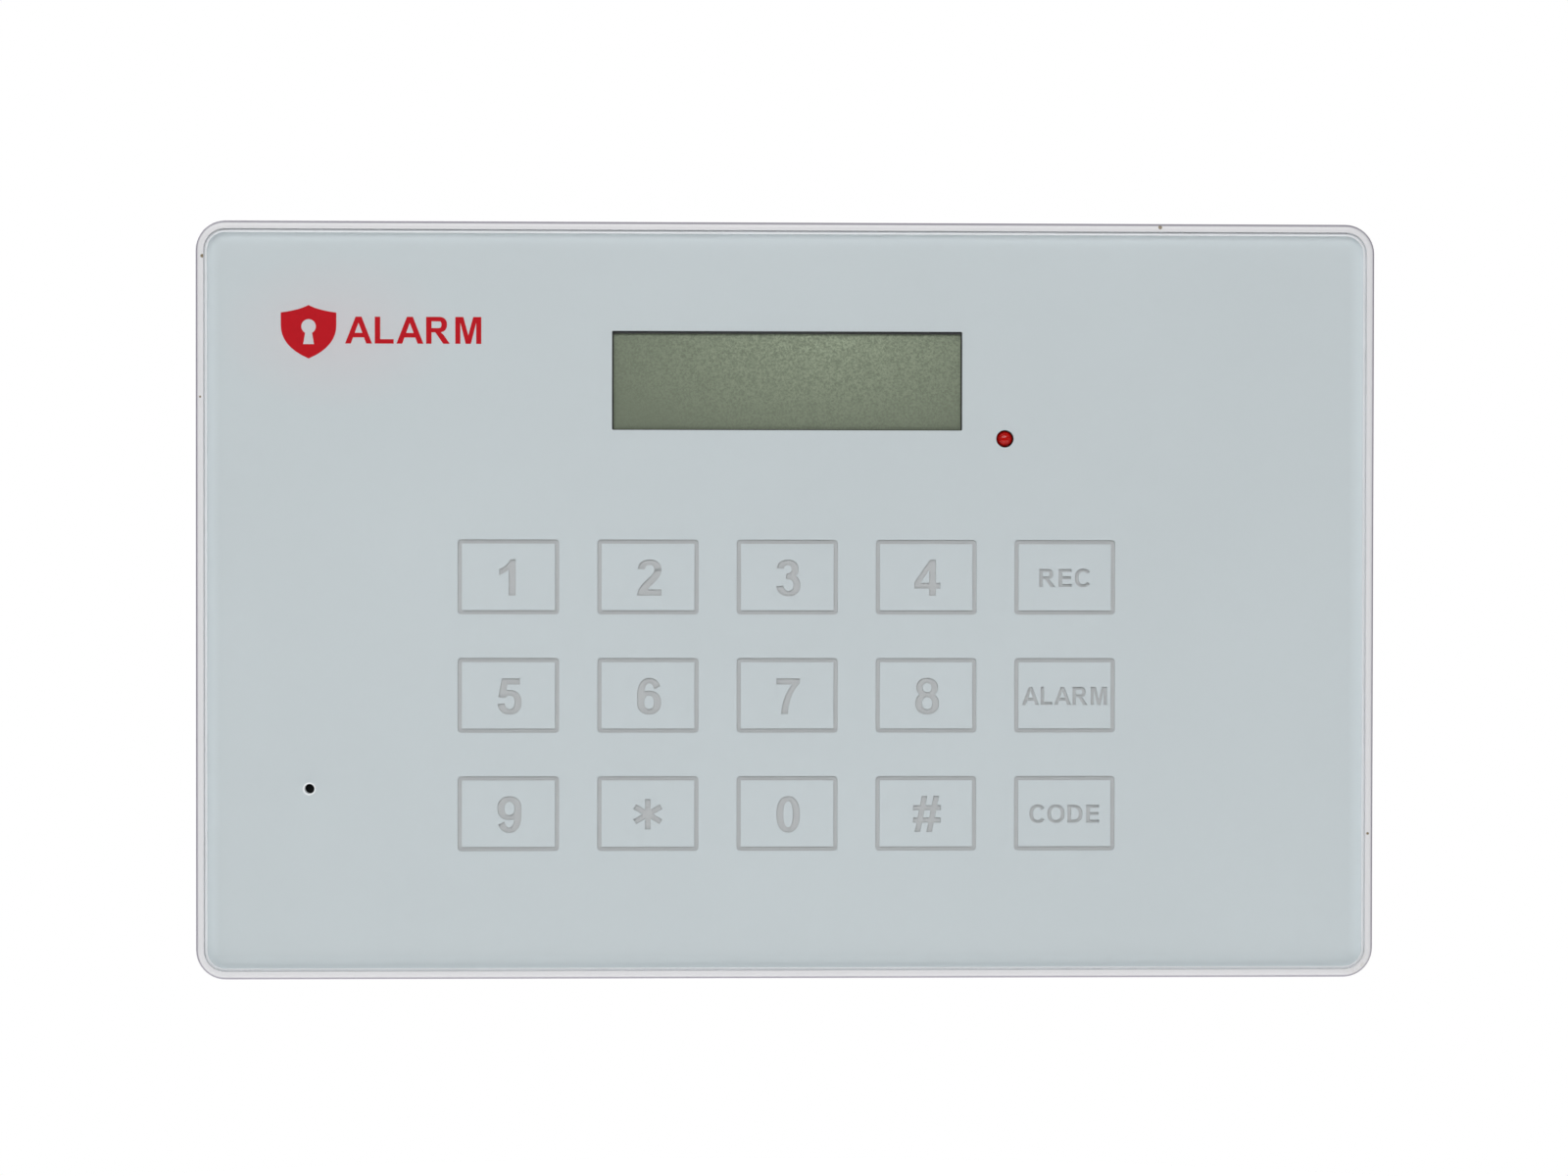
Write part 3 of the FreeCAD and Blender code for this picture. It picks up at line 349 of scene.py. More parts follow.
GLOSS_WHITE = (0.71, 0.71, 0.727)
EDGE_PAINTED_SHADE = (0.34, 0.32, 0.38)    # painted shade: the greyer, faintly violet tone painted along the frame's rounded edge, where it turns away from the light
DIRT = (0.15, 0.10, 0.025)
DIRT_SPOTS = [((-94.85, -26.0, 55.8), 0.36), ((60.75, -26.0, 61.0), 0.40),
              ((-95.2, -25.95, 33.0), 0.22), ((95.1, -26.0, -38.0), 0.26)]   # each speck's place and radius
WORN = (0.5, 0.48, 0.42)
WORN_CORNER = (94.2, -26.0, -59.6)
WORN_R = 4.0


def glossy_frame():
    """The white gloss of the front frame, with painted shade along its rounded edge, a few specks of dirt on
    its rim and a rubbed corner.
    """
    paint, shader = new_material("case_gloss")
    body = paint.mix(paint.noise(18.0, 4.0), toned(GLOSS_WHITE, 0.97), GLOSS_WHITE)
    # painted shade where the frame's edge rounds from its front to its side
    turn = paint.maths("MULTIPLY", paint.part_facing(0.15, 0.35), paint.part_facing(0.92, 0.7))
    body = paint.mix(turn, body, EDGE_PAINTED_SHADE)
    scuffs = paint.span(paint.noise(0.5, 4.0), 0.45, 0.65, 0.0, 0.5)
    body = paint.mix(paint.maths("MULTIPLY", paint.near(WORN_CORNER, WORN_R), scuffs), body, WORN)
    for place, radius in DIRT_SPOTS:
        spot = paint.span(paint.near(place, radius), 0.0, 0.4, 0.0, 1.0)
        body = paint.mix(paint.maths("MULTIPLY", spot, 0.9), body, DIRT)
    paint.feed(shader.inputs["Base Color"], body)
    paint.feed(shader.inputs["Roughness"], paint.span(paint.noise(12.0, 3.0), 0.3, 0.7, 0.29, 0.36))
    paint.feed(shader.inputs["Normal"], paint.bump(paint.noise(9.0, 1.0), 0.001))
    return paint.material


# the cut edges' frosted white, painted pale as painted light for what the clear bevel catches and carries
EDGE_FROST_AND_PAINTED_LIGHT = (0.92, 0.94, 0.96)
ACRYLIC_IOR = 1.32                # lower than real acrylic's 1.49, so that it mirrors the room less


def clear_acrylic():
    """Clear acrylic: it shows what lies behind, shines more at a slant, and has frosted white cut edges,
    painted pale to stand in for the light a clear bevel catches and carries.
    """
    paint = Paint("clear_acrylic")
    clear = paint.node("ShaderNodeBsdfTransparent")
    clear.inputs["Color"].default_value = (0.994, 0.998, 0.999, 1.0)
    gloss = paint.node("ShaderNodeBsdfGlossy")
    gloss.inputs["Roughness"].default_value = 0.05
    ripple = paint.bump(paint.noise(30.0, 2.0), 0.02)
    paint.feed(gloss.inputs["Normal"], ripple)
    inside = paint.tree.nodes.new("ShaderNodeNewGeometry").outputs["Backfacing"]
    share = paint.node("ShaderNodeFresnel", IOR=paint.span(inside, 0.0, 1.0, ACRYLIC_IOR, 1 / ACRYLIC_IOR))
    pane = paint.node("ShaderNodeMixShader")
    paint.feed(pane.inputs[0], share.outputs[0])
    paint.feed(pane.inputs[1], clear.outputs[0])
    paint.feed(pane.inputs[2], gloss.outputs[0])
    edge = paint.node("ShaderNodeBsdfPrincipled")
    paint.feed(edge.inputs["Base Color"], paint.mix(paint.noise(6.0, 4.0), EDGE_FROST_AND_PAINTED_LIGHT, toned(EDGE_FROST_AND_PAINTED_LIGHT, 0.93)))
    edge.inputs["Roughness"].default_value = 0.3
    seen = paint.tree.nodes.new("ShaderNodeLightPath").outputs["Is Shadow Ray"]
    # frosted cut edges, partly painted light: where the pane turns from its faces to its bevel and sides
    frost_and_painted_edge_light = paint.maths("MULTIPLY", paint.part_facing(0.3, 0.5), paint.part_facing(0.98, 0.9))
    both = paint.node("ShaderNodeMixShader")
    paint.feed(both.inputs[0], paint.maths("MULTIPLY", frost_and_painted_edge_light, paint.span(seen, 0.0, 1.0, 0.85, 0.0)))
    paint.feed(both.inputs[1], pane.outputs[0])
    paint.feed(both.inputs[2], edge.outputs[0])
    paint.surface(both.outputs[0])
    return paint.material


PRINT = (0.590, 0.637, 0.655)
PRINT_PINK = (0.66, 0.58, 0.60)
PINK_MIDDLE = (-73.51, -24.6, 43.645)
PINK_R = 13.0
DUST = (0.85, 0.87, 0.88)
PAINTED_RIM_LIGHT_X = (92.2, 94.6)              # painted light: the print pales from the first to the second, each way from the middle
PAINTED_RIM_LIGHT_Z = (57.8, 60.2)


def film_print():
    """Pale blue-grey print: a fine mottle, sparse dust, a pink cast round the mark and painted light paling
    its rim.
    """
    paint, shader = new_material("film_print")
    body = paint.mix(paint.noise(0.55, 5.0, 0.6), toned(PRINT, 0.975), toned(PRINT, 1.025))
    body = paint.mix(paint.span(paint.noise(45.0, 2.0), 0.3, 0.7, 0.0, 0.35), body, toned(PRINT, 0.94))
    halo = paint.near(PINK_MIDDLE, PINK_R, (1.5, 1, 1))
    body = paint.mix(paint.maths("MULTIPLY", halo, 0.5), body, PRINT_PINK)
    dusty = paint.span(paint.noise(20.0, 1.0), 0.5, 0.6, 0.0, 0.6)
    body = paint.mix(paint.maths("MULTIPLY", paint.specks(9.0, 0.14), dusty), body, DUST)
    place = paint.node("ShaderNodeSeparateXYZ", Vector=paint.stretched((1, 1, 1)))
    across, up = (paint.maths("ABSOLUTE", place.outputs[axis], 0.0) for axis in ("X", "Z"))
    # painted light along the print's border, for the light the acrylic's edge brings there
    rim = paint.maths("MAXIMUM", paint.span(across, *PAINTED_RIM_LIGHT_X, 0.0, 1.0), paint.span(up, *PAINTED_RIM_LIGHT_Z, 0.0, 1.0))
    body = paint.mix(rim, body, toned(PRINT, 1.13))
    paint.feed(shader.inputs["Base Color"], body)
    shader.inputs["Roughness"].default_value = 0.6
    shader.inputs["Specular IOR Level"].default_value = 0.1
    return paint.material


MILKY = (0.485, 0.495, 0.50)
MARK_RED = (0.50, 0.006, 0.013)


def milky_sheet():
    """The milky diffuser that shows through the legends: a fine cloudy texture."""
    paint, shader = new_material("diffuser_sheet")
    body = paint.mix(paint.noise(0.8, 4.0), toned(MILKY, 0.97), toned(MILKY, 1.03))
    paint.feed(shader.inputs["Base Color"], body)
    shader.inputs["Roughness"].default_value = 0.6
    paint.feed(shader.inputs["Normal"], paint.bump(paint.noise(0.4, 3.0), 0.006))
    return paint.material


def mark_print():
    """Opaque red ink, a little uneven."""
    paint, shader = new_material("mark_print")
    body = paint.mix(paint.noise(0.6, 5.0, 0.7), toned(MARK_RED, 0.85), toned(MARK_RED, 1.15))
    paint.feed(shader.inputs["Base Color"], body)
    shader.inputs["Roughness"].default_value = 0.5
    shader.inputs["Specular IOR Level"].default_value = 0.1
    paint.feed(shader.inputs["Normal"], paint.bump(paint.noise(0.3, 3.0), 0.004))
    return paint.material


LCD_GREY = (0.26, 0.30, 0.215)
LCD_PAINTED_LIGHT = (6.0, -23.6, 43.0)      # the middle of the display's painted light, and how far it reaches
LCD_PAINTED_LIGHT_R = 50.0


def display_glass():
    """Unlit grey-green display glass: satin, finely speckled, with painted shade darker towards its lower
    left.
    """
    paint, shader = new_material("lcd_grey_green")
    speckle = paint.noise(0.34, 3.0, 0.7)
    body = paint.mix(paint.span(speckle, 0.38, 0.62, 0.0, 1.0), toned(LCD_GREY, 0.70), toned(LCD_GREY, 1.27))
    # painted light round the middle, fading to painted shade towards the lower left
    shade = paint.span(paint.near(LCD_PAINTED_LIGHT, LCD_PAINTED_LIGHT_R, (1, 1, 0.42)), 0.15, 0.95, 0.9, 0.0)
    body = paint.mix(shade, body, toned(LCD_GREY, 0.62))
    paint.feed(shader.inputs["Base Color"], body)
    shader.inputs["Roughness"].default_value = 0.42
    shader.inputs["Specular IOR Level"].default_value = 0.2
    paint.feed(shader.inputs["Normal"], paint.bump(speckle, 0.01))
    return paint.material


MIC_CAN = (0.65, 0.65, 0.65)
MIC_FELT = (0.018, 0.018, 0.019)


def mic_capsule():
    """The microphone's metal can, with black felt over its front."""
    paint, shader = new_material("mic_metal")
    felt = paint.part_facing(0.9, 0.98)
    fibres = paint.noise(0.12, 4.0, 0.7)
    can = paint.mix(paint.noise(1.2, 4.0), toned(MIC_CAN, 12 / 13), toned(MIC_CAN, 14 / 13))
    paint.feed(shader.inputs["Base Color"], paint.mix(felt, can, MIC_FELT))
    paint.feed(shader.inputs["Metallic"], paint.span(felt, 0.0, 1.0, 1.0, 0.0))
    paint.feed(shader.inputs["Roughness"], paint.span(felt, 0.0, 1.0, 0.3, 0.95))
    paint.feed(shader.inputs["Specular IOR Level"], paint.span(felt, 0.0, 1.0, 0.5, 0.05))
    paint.feed(shader.inputs["Normal"], paint.bump(fibres, 0.02))
    return paint.material


LENS_DEEP = (0.40, 0.002, 0.001)
LENS_PALE = (0.55, 0.005, 0.002)


def tinted_lens():
    """The indicator's red tinted body: glossy and a little uneven, with light spread inside it."""
    paint, shader = new_material("led_red")
    paint.feed(shader.inputs["Base Color"], paint.mix(paint.noise(0.8, 3.0), LENS_DEEP, LENS_PALE))
    shader.inputs["Roughness"].default_value = 0.16
    shader.inputs["Subsurface Weight"].default_value = 0.2
    shader.inputs["Subsurface Scale"].default_value = 0.6 * MM
    shader.inputs["Specular IOR Level"].default_value = 0.35
    return paint.material


MASK = (0.018, 0.15, 0.065)
MASKED_TRACK = (0.035, 0.26, 0.11)
PLATED_HOLE = (0.62, 0.55, 0.34)
TRACK_AREA = 5.0                  # about how far apart the fields of tracks lie
TRACK_LIFT = 0.035


def circuit_board():
    """Green solder mask over a net of copper tracks, with plated through holes."""
    paint, shader = new_material("board_green")
    tracks = paint.node("ShaderNodeTexVoronoi", Vector=paint.stretched((1, 0, 1)), Scale=1.0 / TRACK_AREA)
    tracks.distance = "CHEBYCHEV"
    line = paint.node("ShaderNodeTexWave", Vector=paint.stretched((1, 0, 1)), Scale=0.35)
    line.inputs["Distortion"].default_value = 0.0
    ways = paint.span(tracks.outputs["Distance"], 0.30, 0.34, 0.0, 1.0)
    stripes = paint.span(line.outputs["Fac"], 0.42, 0.5, 0.0, 1.0)
    copper = paint.maths("MULTIPLY", ways, stripes)
    vias = paint.specks(4.0, 0.55, 3.0)
    body = paint.mix(vias, paint.mix(copper, MASK, MASKED_TRACK), PLATED_HOLE)
    paint.feed(shader.inputs["Base Color"], body)
    paint.feed(shader.inputs["Metallic"], vias)
    paint.feed(shader.inputs["Roughness"], paint.span(paint.noise(2.0, 4.0), 0.3, 0.7, 0.28, 0.42))
    paint.feed(shader.inputs["Normal"], paint.bump(copper, TRACK_LIFT))
    return paint.material


def shrink_wrap():
    """Blue shrink film over the cells, with fine wrinkles along it."""
    paint, shader = new_material("battery_wrap")
    folds = paint.noise(1.6, 4.0, 0.6, (0.25, 1, 1))
    paint.feed(shader.inputs["Base Color"], paint.mix(folds, (0.05, 0.14, 0.36), (0.09, 0.22, 0.48)))
    paint.feed(shader.inputs["Roughness"], paint.span(folds, 0.3, 0.7, 0.29, 0.42))
    paint.feed(shader.inputs["Normal"], paint.bump(folds, 0.12))
    return paint.material


MOULDED = {   # colour, roughness, the grain's size and depth, and how strong the clouds in the colour are
    "cover_plastic": ((0.75, 0.75, 0.76), 0.52, 0.45, 0.03),
    "bracket_plastic": ((0.74, 0.74, 0.75), 0.42, 0.6, 0.02),
    "lcd_black": ((0.018, 0.018, 0.018), 0.5, 0.3, 0.01, 0.1),
    "lcd_light": ((0.82, 0.82, 0.80), 0.35, 0.8, 0.004),
    "lamp_white": ((0.84, 0.83, 0.74), 0.3, 0.4, 0.004),
    "chip_black": ((0.030, 0.030, 0.032), 0.55, 0.2, 0.012, 0.1),
    "terminal_green": ((0.05, 0.34, 0.13), 0.4, 0.4, 0.012, 0.06),
    "ferrite_grey": ((0.07, 0.07, 0.075), 0.75, 0.25, 0.03, 0.15),
    "jack_black": ((0.020, 0.020, 0.021), 0.38, 0.4, 0.01, 0.1),
    "knob_black": ((0.026, 0.026, 0.027), 0.45, 0.25, 0.02, 0.1),
    "speaker_film": ((0.09, 0.09, 0.10), 0.3, 1.2, 0.01, 0.1),
    "wire_insulation": ((0.45, 0.02, 0.02), 0.4, 0.5, 0.01, 0.08),
    "aerial_wire": ((0.04, 0.04, 0.04), 0.4, 0.5, 0.01, 0.1),
    "plug_white": ((0.80, 0.78, 0.72), 0.4, 0.4, 0.012),
}
METALS = {    # colour, roughness, and how far the scratches are drawn out along each axis
    "spring_steel": ((0.70, 0.70, 0.72), 0.25, (1, 0.2, 1)),
    "screw_steel": ((0.62, 0.63, 0.65), 0.38, (0.4, 1, 0.4)),
    "tinned_steel": ((0.74, 0.74, 0.73), 0.34, (0.15, 1, 1)),
    "brass_contact": ((0.78, 0.62, 0.32), 0.22, (0.2, 1, 1)),
    "can_aluminium": ((0.76, 0.77, 0.79), 0.28, (1, 0.15, 1)),
    "speaker_steel": ((0.24, 0.24, 0.25), 0.45),
}
SOFT = {      # colour, the cells' size and depth, and roughness
    "tape_foam": ((0.80, 0.80, 0.81), 0.5, 0.08, 0.85),
    "black_rubber": ((0.022, 0.022, 0.023), 0.35, 0.02, 0.7),
}


def finishes():
    """One material for each of the record's slots."""
    made = {
        "case_gloss": glossy_frame(),
        "clear_acrylic": clear_acrylic(),
        "film_print": film_print(),
        "diffuser_sheet": milky_sheet(),
        "lcd_grey_green": display_glass(),
        "board_green": circuit_board(),
        "led_red": tinted_lens(),
        "battery_wrap": shrink_wrap(),
        "mic_metal": mic_capsule(),
    }
    for make, table in ((moulded, MOULDED), (metal, METALS), (soft, SOFT)):
        for name, values in table.items():
            made[name] = make(name, *values)
    return made


def paint_frame(materials):
    """Gives every node of the frame its slot's finish."""
    for part in frame["record"]["subparts"]:
        node = NODES[part["node"]]
        node.data.materials.clear()
        node.data.materials.append(materials[part["material_slot"]])


# ---------------------------------------------------------------- outlines, in parts of a glyph's height
STEM = 0.195                      # thickness of a digit's upright strokes
BAR = 0.155                       # thickness of its level strokes
LETTER_STEM = 0.203
LETTER_BAR = 0.168
ROUND = 2.25                      # above 2, a bow is squarer than an ellipse
BOW_STEP = 9                      # degrees between the points of a bow
OVAL_POINTS = 40
CURVE_POINTS = 9


def bow_point(middle, radii, angle):
    x, z = (math.copysign(abs(f) ** (2 / ROUND), f) for f in (math.cos(angle), math.sin(angle)))
    return (middle[0] + radii[0] * x, middle[1] + radii[1] * z)


def bow(middle, radii, first, last, thick=(STEM, BAR)):
    """A thick arc. Its outer radii are given, and its ends are angles in degrees."""
    steps = max(4, round(abs(last - first) / BOW_STEP))
    angles = [math.radians(first + (last - first) * i / steps) for i in range(steps + 1)]
    inner = (radii[0] - thick[0], radii[1] - thick[1])
    outside = [bow_point(middle, radii, a) for a in angles]
    return outside + [bow_point(middle, inner, a) for a in reversed(angles)]


def oval(middle, radii):
    return [bow_point(middle, radii, math.tau * i / OVAL_POINTS) for i in range(OVAL_POINTS)]


def curve(a, b, c, d):
    """A curved edge from a to d, pulled towards b and c, without its first point."""
    spots = interpolate_bezier(*(Vector((*p, 0.0)) for p in (a, b, c, d)), CURVE_POINTS)
    return [(p.x, p.y) for p in spots[1:]]


def bar(x0, z0, x1, z1):
    return [(x0, z0), (x1, z0), (x1, z1), (x0, z1)]


def turned(outline, middle):
    return [(2 * middle[0] - x, 2 * middle[1] - z) for x, z in outline]


SIX_SOLID = [oval((0.333, 0.316), (0.333, 0.332)), bow((0.343, 0.492), (0.343, 0.508), 30, 200)]
SIX_OPEN = [oval((0.333, 0.324), (0.134, 0.182))]
SIX_MIDDLE = (0.333, 0.492)
NO_HOLE = []
A_OPEN = [(0.36, 0.40), (0.64, 0.40), (0.497, 0.77)]
A_SOLID = [(0.0, 0.0), (0.215, 0.0), (0.297, 0.23), (0.70, 0.23), (0.785, 0.0), (1.0, 0.0),
           (0.61, 1.0), (0.39, 1.0)]
R_LEG = [(0.32, 0.45), (0.50, 0.45), *curve((0.50, 0.45), (0.64, 0.38), (0.68, 0.28), (0.88, 0.0)),
         (0.635, 0.0)]
M_SOLID = [(0.0, 0.0), (0.19, 0.0), (0.19, 0.78), (0.385, 0.0), (0.58, 0.0), (0.775, 0.78), (0.775, 0.0),
           (0.965, 0.0), (0.965, 1.0), (0.665, 1.0), (0.483, 0.32), (0.30, 1.0), (0.0, 1.0)]
LETTER_POST = bar(0.0, 0.0, LETTER_STEM, 1.0)

# Each glyph: its width, what is solid, and what is open in it.
GLYPHS = {
    "0": (0.655, [oval((0.327, 0.492), (0.327, 0.508))], [oval((0.327, 0.492), (0.130, 0.357))]),
    "1": (0.57, [[(0.26, 0.0), (0.455, 0.0), (0.455, 1.0), (0.30, 1.0),
                  *curve((0.30, 1.0), (0.25, 0.86), (0.13, 0.78), (0.0, 0.735)), (0.0, 0.565),
                  *curve((0.0, 0.565), (0.10, 0.60), (0.19, 0.65), (0.26, 0.72))]], NO_HOLE),
    "2": (0.675, [bow((0.350, 0.712), (0.325, 0.288), 176, 0),
                  [(0.0, 0.0), (0.675, 0.0), (0.675, 0.175), (0.30, 0.175),
                   *curve((0.30, 0.175), (0.42, 0.34), (0.675, 0.47), (0.675, 0.712)), (0.480, 0.712),
                   *curve((0.480, 0.712), (0.46, 0.50), (0.03, 0.37), (0.0, 0.0))]], NO_HOLE),
    "3": (0.665, [bow((0.315, 0.735), (0.298, 0.265), 176, -100),
                  bow((0.333, 0.295), (0.332, 0.312), 100, -176)], NO_HOLE),
    "4": (0.72, [[(0.41, 0.0), (0.60, 0.0), (0.60, 0.20), (0.72, 0.20), (0.72, 0.365), (0.60, 0.365),
                  (0.60, 1.0), (0.43, 1.0), (0.0, 0.375), (0.0, 0.20), (0.41, 0.20)]],
          [[(0.18, 0.365), (0.41, 0.365), (0.41, 0.71)]]),
    "5": (0.67, [bar(0.13, 0.815, 0.625, 0.985),
                 [(0.025, 0.465), (0.22, 0.44), (0.30, 0.985), (0.122, 0.985)],
                 bow((0.337, 0.324), (0.333, 0.341), 138, -174)], NO_HOLE),
    "6": (0.666, SIX_SOLID, SIX_OPEN),
    "7": (0.655, [[(0.135, 0.0), (0.32, 0.0), *curve((0.32, 0.0), (0.32, 0.32), (0.45, 0.66), (0.655, 0.86)),
                   (0.655, 0.985), (0.0, 0.985), (0.0, 0.815), (0.435, 0.815),
                   *curve((0.435, 0.815), (0.25, 0.60), (0.14, 0.28), (0.135, 0.0))]], NO_HOLE),
    "8": (0.66, [oval((0.33, 0.732), (0.300, 0.268)), oval((0.33, 0.290), (0.330, 0.307))],
          [oval((0.33, 0.728), (0.120, 0.122)), oval((0.33, 0.296), (0.138, 0.162))]),
    "9": (0.666, [turned(o, SIX_MIDDLE) for o in SIX_SOLID], [turned(o, SIX_MIDDLE) for o in SIX_OPEN]),
    "#": (0.77, [bar(0.0, 0.60, 0.77, 0.745), bar(0.0, 0.255, 0.77, 0.40),
                 [(0.045, 0.0), (0.20, 0.0), (0.395, 1.0), (0.24, 1.0)],
                 [(0.37, 0.0), (0.525, 0.0), (0.72, 1.0), (0.565, 1.0)]], NO_HOLE),
    "A": (1.0, [A_SOLID], [A_OPEN]),
    "C": (0.87, [bow((0.46, 0.5), (0.46, 0.517), 36, 324, (0.205, 0.17))], NO_HOLE),
    "D": (0.84, [LETTER_POST, bar(0.0, 0.0, 0.36, LETTER_BAR), bar(0.0, 1.0 - LETTER_BAR, 0.36, 1.0),
                 bow((0.355, 0.5), (0.485, 0.5), 90, -90, (0.207, LETTER_BAR))], NO_HOLE),
    "E": (0.73, [LETTER_POST, bar(0.0, 0.0, 0.73, LETTER_BAR), bar(0.0, 0.43, 0.69, 0.595),
                 bar(0.0, 1.0 - LETTER_BAR, 0.715, 1.0)], NO_HOLE),
    "L": (0.70, [LETTER_POST, bar(0.0, 0.0, 0.70, LETTER_BAR)], NO_HOLE),
    "M": (0.965, [M_SOLID], NO_HOLE),
    "O": (0.965, [oval((0.483, 0.5), (0.483, 0.517))], [oval((0.483, 0.5), (0.277, 0.347))]),
    "R": (0.88, [LETTER_POST, bar(0.0, 1.0 - LETTER_BAR, 0.50, 1.0), bar(0.0, 0.425, 0.50, 0.585),
                 bow((0.49, 0.7125), (0.285, 0.2875), 90, -90, (0.205, 0.165)), R_LEG], NO_HOLE),
}
SIDE_ROOM = {"A": 0.0, "C": 0.07, "O": 0.06}   # room left beside a slanting or round letter
STRAIGHT_ROOM = 0.10              # and beside any other


def placed(outline, x, z, size):
    return [(x + size * a, z + size * b) for a, b in outline]


def glyph(name, x, z, height):
    """One group of outlines, with the glyph's lower left corner at x, z."""
    _, solid, hollow = GLYPHS[name]
    return ([placed(o, x, z, height) for o in solid], [placed(o, x, z, height) for o in hollow])


def side_room(letter):
    return SIDE_ROOM.get(letter, STRAIGHT_ROOM)


def word(text, x, z, height):
    """The groups of a word's letters from x to the right, and where the last one ends."""
    groups = []
    for number, letter in enumerate(text):
        if number:
            x += height * (side_room(text[number - 1]) + side_room(letter))
        groups.append(glyph(letter, x, z, height))
        x += height * GLYPHS[letter][0]
    return groups, x


def star(x, z):
    """The six-armed star, as three bars across the middle."""
    arms = []
    for turn in (30, 90, 150):
        c, s = math.cos(math.radians(turn)), math.sin(math.radians(turn))
        across = bar(-STAR_R, -STAR_ARM, STAR_R, STAR_ARM)
        arms.append([(x + c * a - s * b, z + s * a + c * b) for a, b in across])
    return (arms, [])


CORNER_STEPS = 5


def rounded(x0, z0, x1, z1, r):
    """A rectangle with rounded corners."""
    outline = []
    corners = ((x1 - r, z0 + r), (x1 - r, z1 - r), (x0 + r, z1 - r), (x0 + r, z0 + r))
    for number, (x, z) in enumerate(corners):
        for i in range(CORNER_STEPS + 1):
            a = math.radians(90 * (number - 1 + i / CORNER_STEPS))
            outline.append((x + r * math.cos(a), z + r * math.sin(a)))
    return outline


def disc(x, z, r, steps=48):
    angles = [math.tau * i / steps for i in range(steps)]
    return [(x + r * math.cos(a), z + r * math.sin(a)) for a in angles]


def key_word(text, x, z):
    """A key's word, with its middle at x, z, and squeezed across where it would touch the key's frame."""
    letters, end = word(text, 0.0, 0.0, LETTER_H)
    width = min(end, WORD_W)

    def fitted(outline):
        return [(x + (a / end - 0.5) * width, z + b - LETTER_H / 2) for a, b in outline]

    return [([fitted(o) for o in solid], [fitted(o) for o in hollow]) for solid, hollow in letters]


def key_groups(text, x, z):
    """What is left unprinted for one key: its frame and its legend."""
    w, h = KEY_W / 2, KEY_H / 2
    outside = rounded(x - w, z - h, x + w, z + h, KEY_CORNER)
    inside = bar(x - w + KEY_BAND, z - h + KEY_BAND, x + w - KEY_BAND, z + h - KEY_BAND)
    z -= LEGEND_DROP
    if text == "*":
        legend = [star(x, z)]
    elif len(text) == 1:
        left = x + DIGIT_SHIFT - DIGIT_H * GLYPHS[text][0] / 2
        legend = [glyph(text, left, z - DIGIT_H / 2, DIGIT_H)]
    else:
        legend = key_word(text, x, z)
    return [([outside], [inside])] + legend


def mark_groups():
    """The red mark: a shield with a keyhole in it, then a plain word."""
    height = MARK_TOP - MARK_BOTTOM

    def on_shield(across, up):
        """A point of the shield, in parts of its width from its left and of its height from its tip."""
        return (MARK_X + MARK_W * across, MARK_BOTTOM + height * up)

    tip, shoulder, peak = on_shield(0.5, 0.0), on_shield(1.0, 0.86), on_shield(0.5, 1.0)
    right = [tip, *curve(tip, on_shield(0.86, 0.16), on_shield(1.0, 0.38), on_shield(1.0, 0.62)),
             shoulder, *curve(shoulder, on_shield(0.84, 0.88), on_shield(0.64, 0.92), peak)]
    left = [(2 * tip[0] - x, z) for x, z in reversed(right[1:-1])]
    hole = disc(*on_shield(0.5, 0.60), height * 0.135, 32)
    foot, neck = height * 0.10, height * 0.05
    (middle, low), (_, high) = on_shield(0.5, 0.27), on_shield(0.5, 0.56)
    slot = [(middle - foot, low), (middle + foot, low), (middle + neck, high), (middle - neck, high)]
    letters, _ = word(MARK_WORD, MARK_WORD_X, MARK_WORD_Z, MARK_WORD_H)
    return [([right + left], [hole, slot])] + letters


# ---------------------------------------------------------------- flat pieces
def clockwise(outline):
    turns = zip(outline, outline[1:] + outline[:1])
    return sum(a[0] * b[1] - b[0] * a[1] for a, b in turns) < 0


def cut_plane(groups):
    """Triangles over all the outlines. For each triangle, the numbers of the groups whose solid it is in."""
    corners, loops, owners = [], [], []
    for number, (solid, hollow) in enumerate(groups):
        for kind, outlines in (("solid", solid), ("hollow", hollow)):
            for outline in outlines:
                if clockwise(outline):
                    outline = outline[::-1]
                loops.append(list(range(len(corners), len(corners) + len(outline))))
                corners += [Vector(p) for p in outline]
                owners.append((number, kind))
    points, _, triangles, _, _, origins = delaunay_2d_cdt(corners, [], loops, 1, 1e-5)
    inside = []
    for faces in origins:
        owned = {owners[f] for f in faces}
        inside.append({n for n, kind in owned if kind == "solid" and (n, "hollow") not in owned})
    return points, triangles, inside


def flat_piece(name, points, triangles, front, back):
    """A flat piece of those triangles, with a front face, back face and side walls.

    front and back are the faces' Y, in metres."""
    used = sorted({i for t in triangles for i in t})
    place = {i: n for n, i in enumerate(used)}
    count = len(used)
    corners = [(points[i].x * MM, y, points[i].y * MM) for y in (front, back) for i in used]
    faces, edges = [], {}
    for t in triangles:
        a, b, c = (place[i] for i in t)
        faces += [(a, b, c), (c + count, b + count, a + count)]
        for edge in ((a, b), (b, c), (c, a)):
            edges[edge] = True
    walls = [(b, a, a + count, b + count) for a, b in edges if (b, a) not in edges]
    mesh = bpy.data.meshes.new(name)
    mesh.from_pydata(corners, [], faces + walls)
    mesh.validate()
    piece = bpy.data.objects.new(name, mesh)
    bpy.context.scene.collection.objects.link(piece)
    return piece


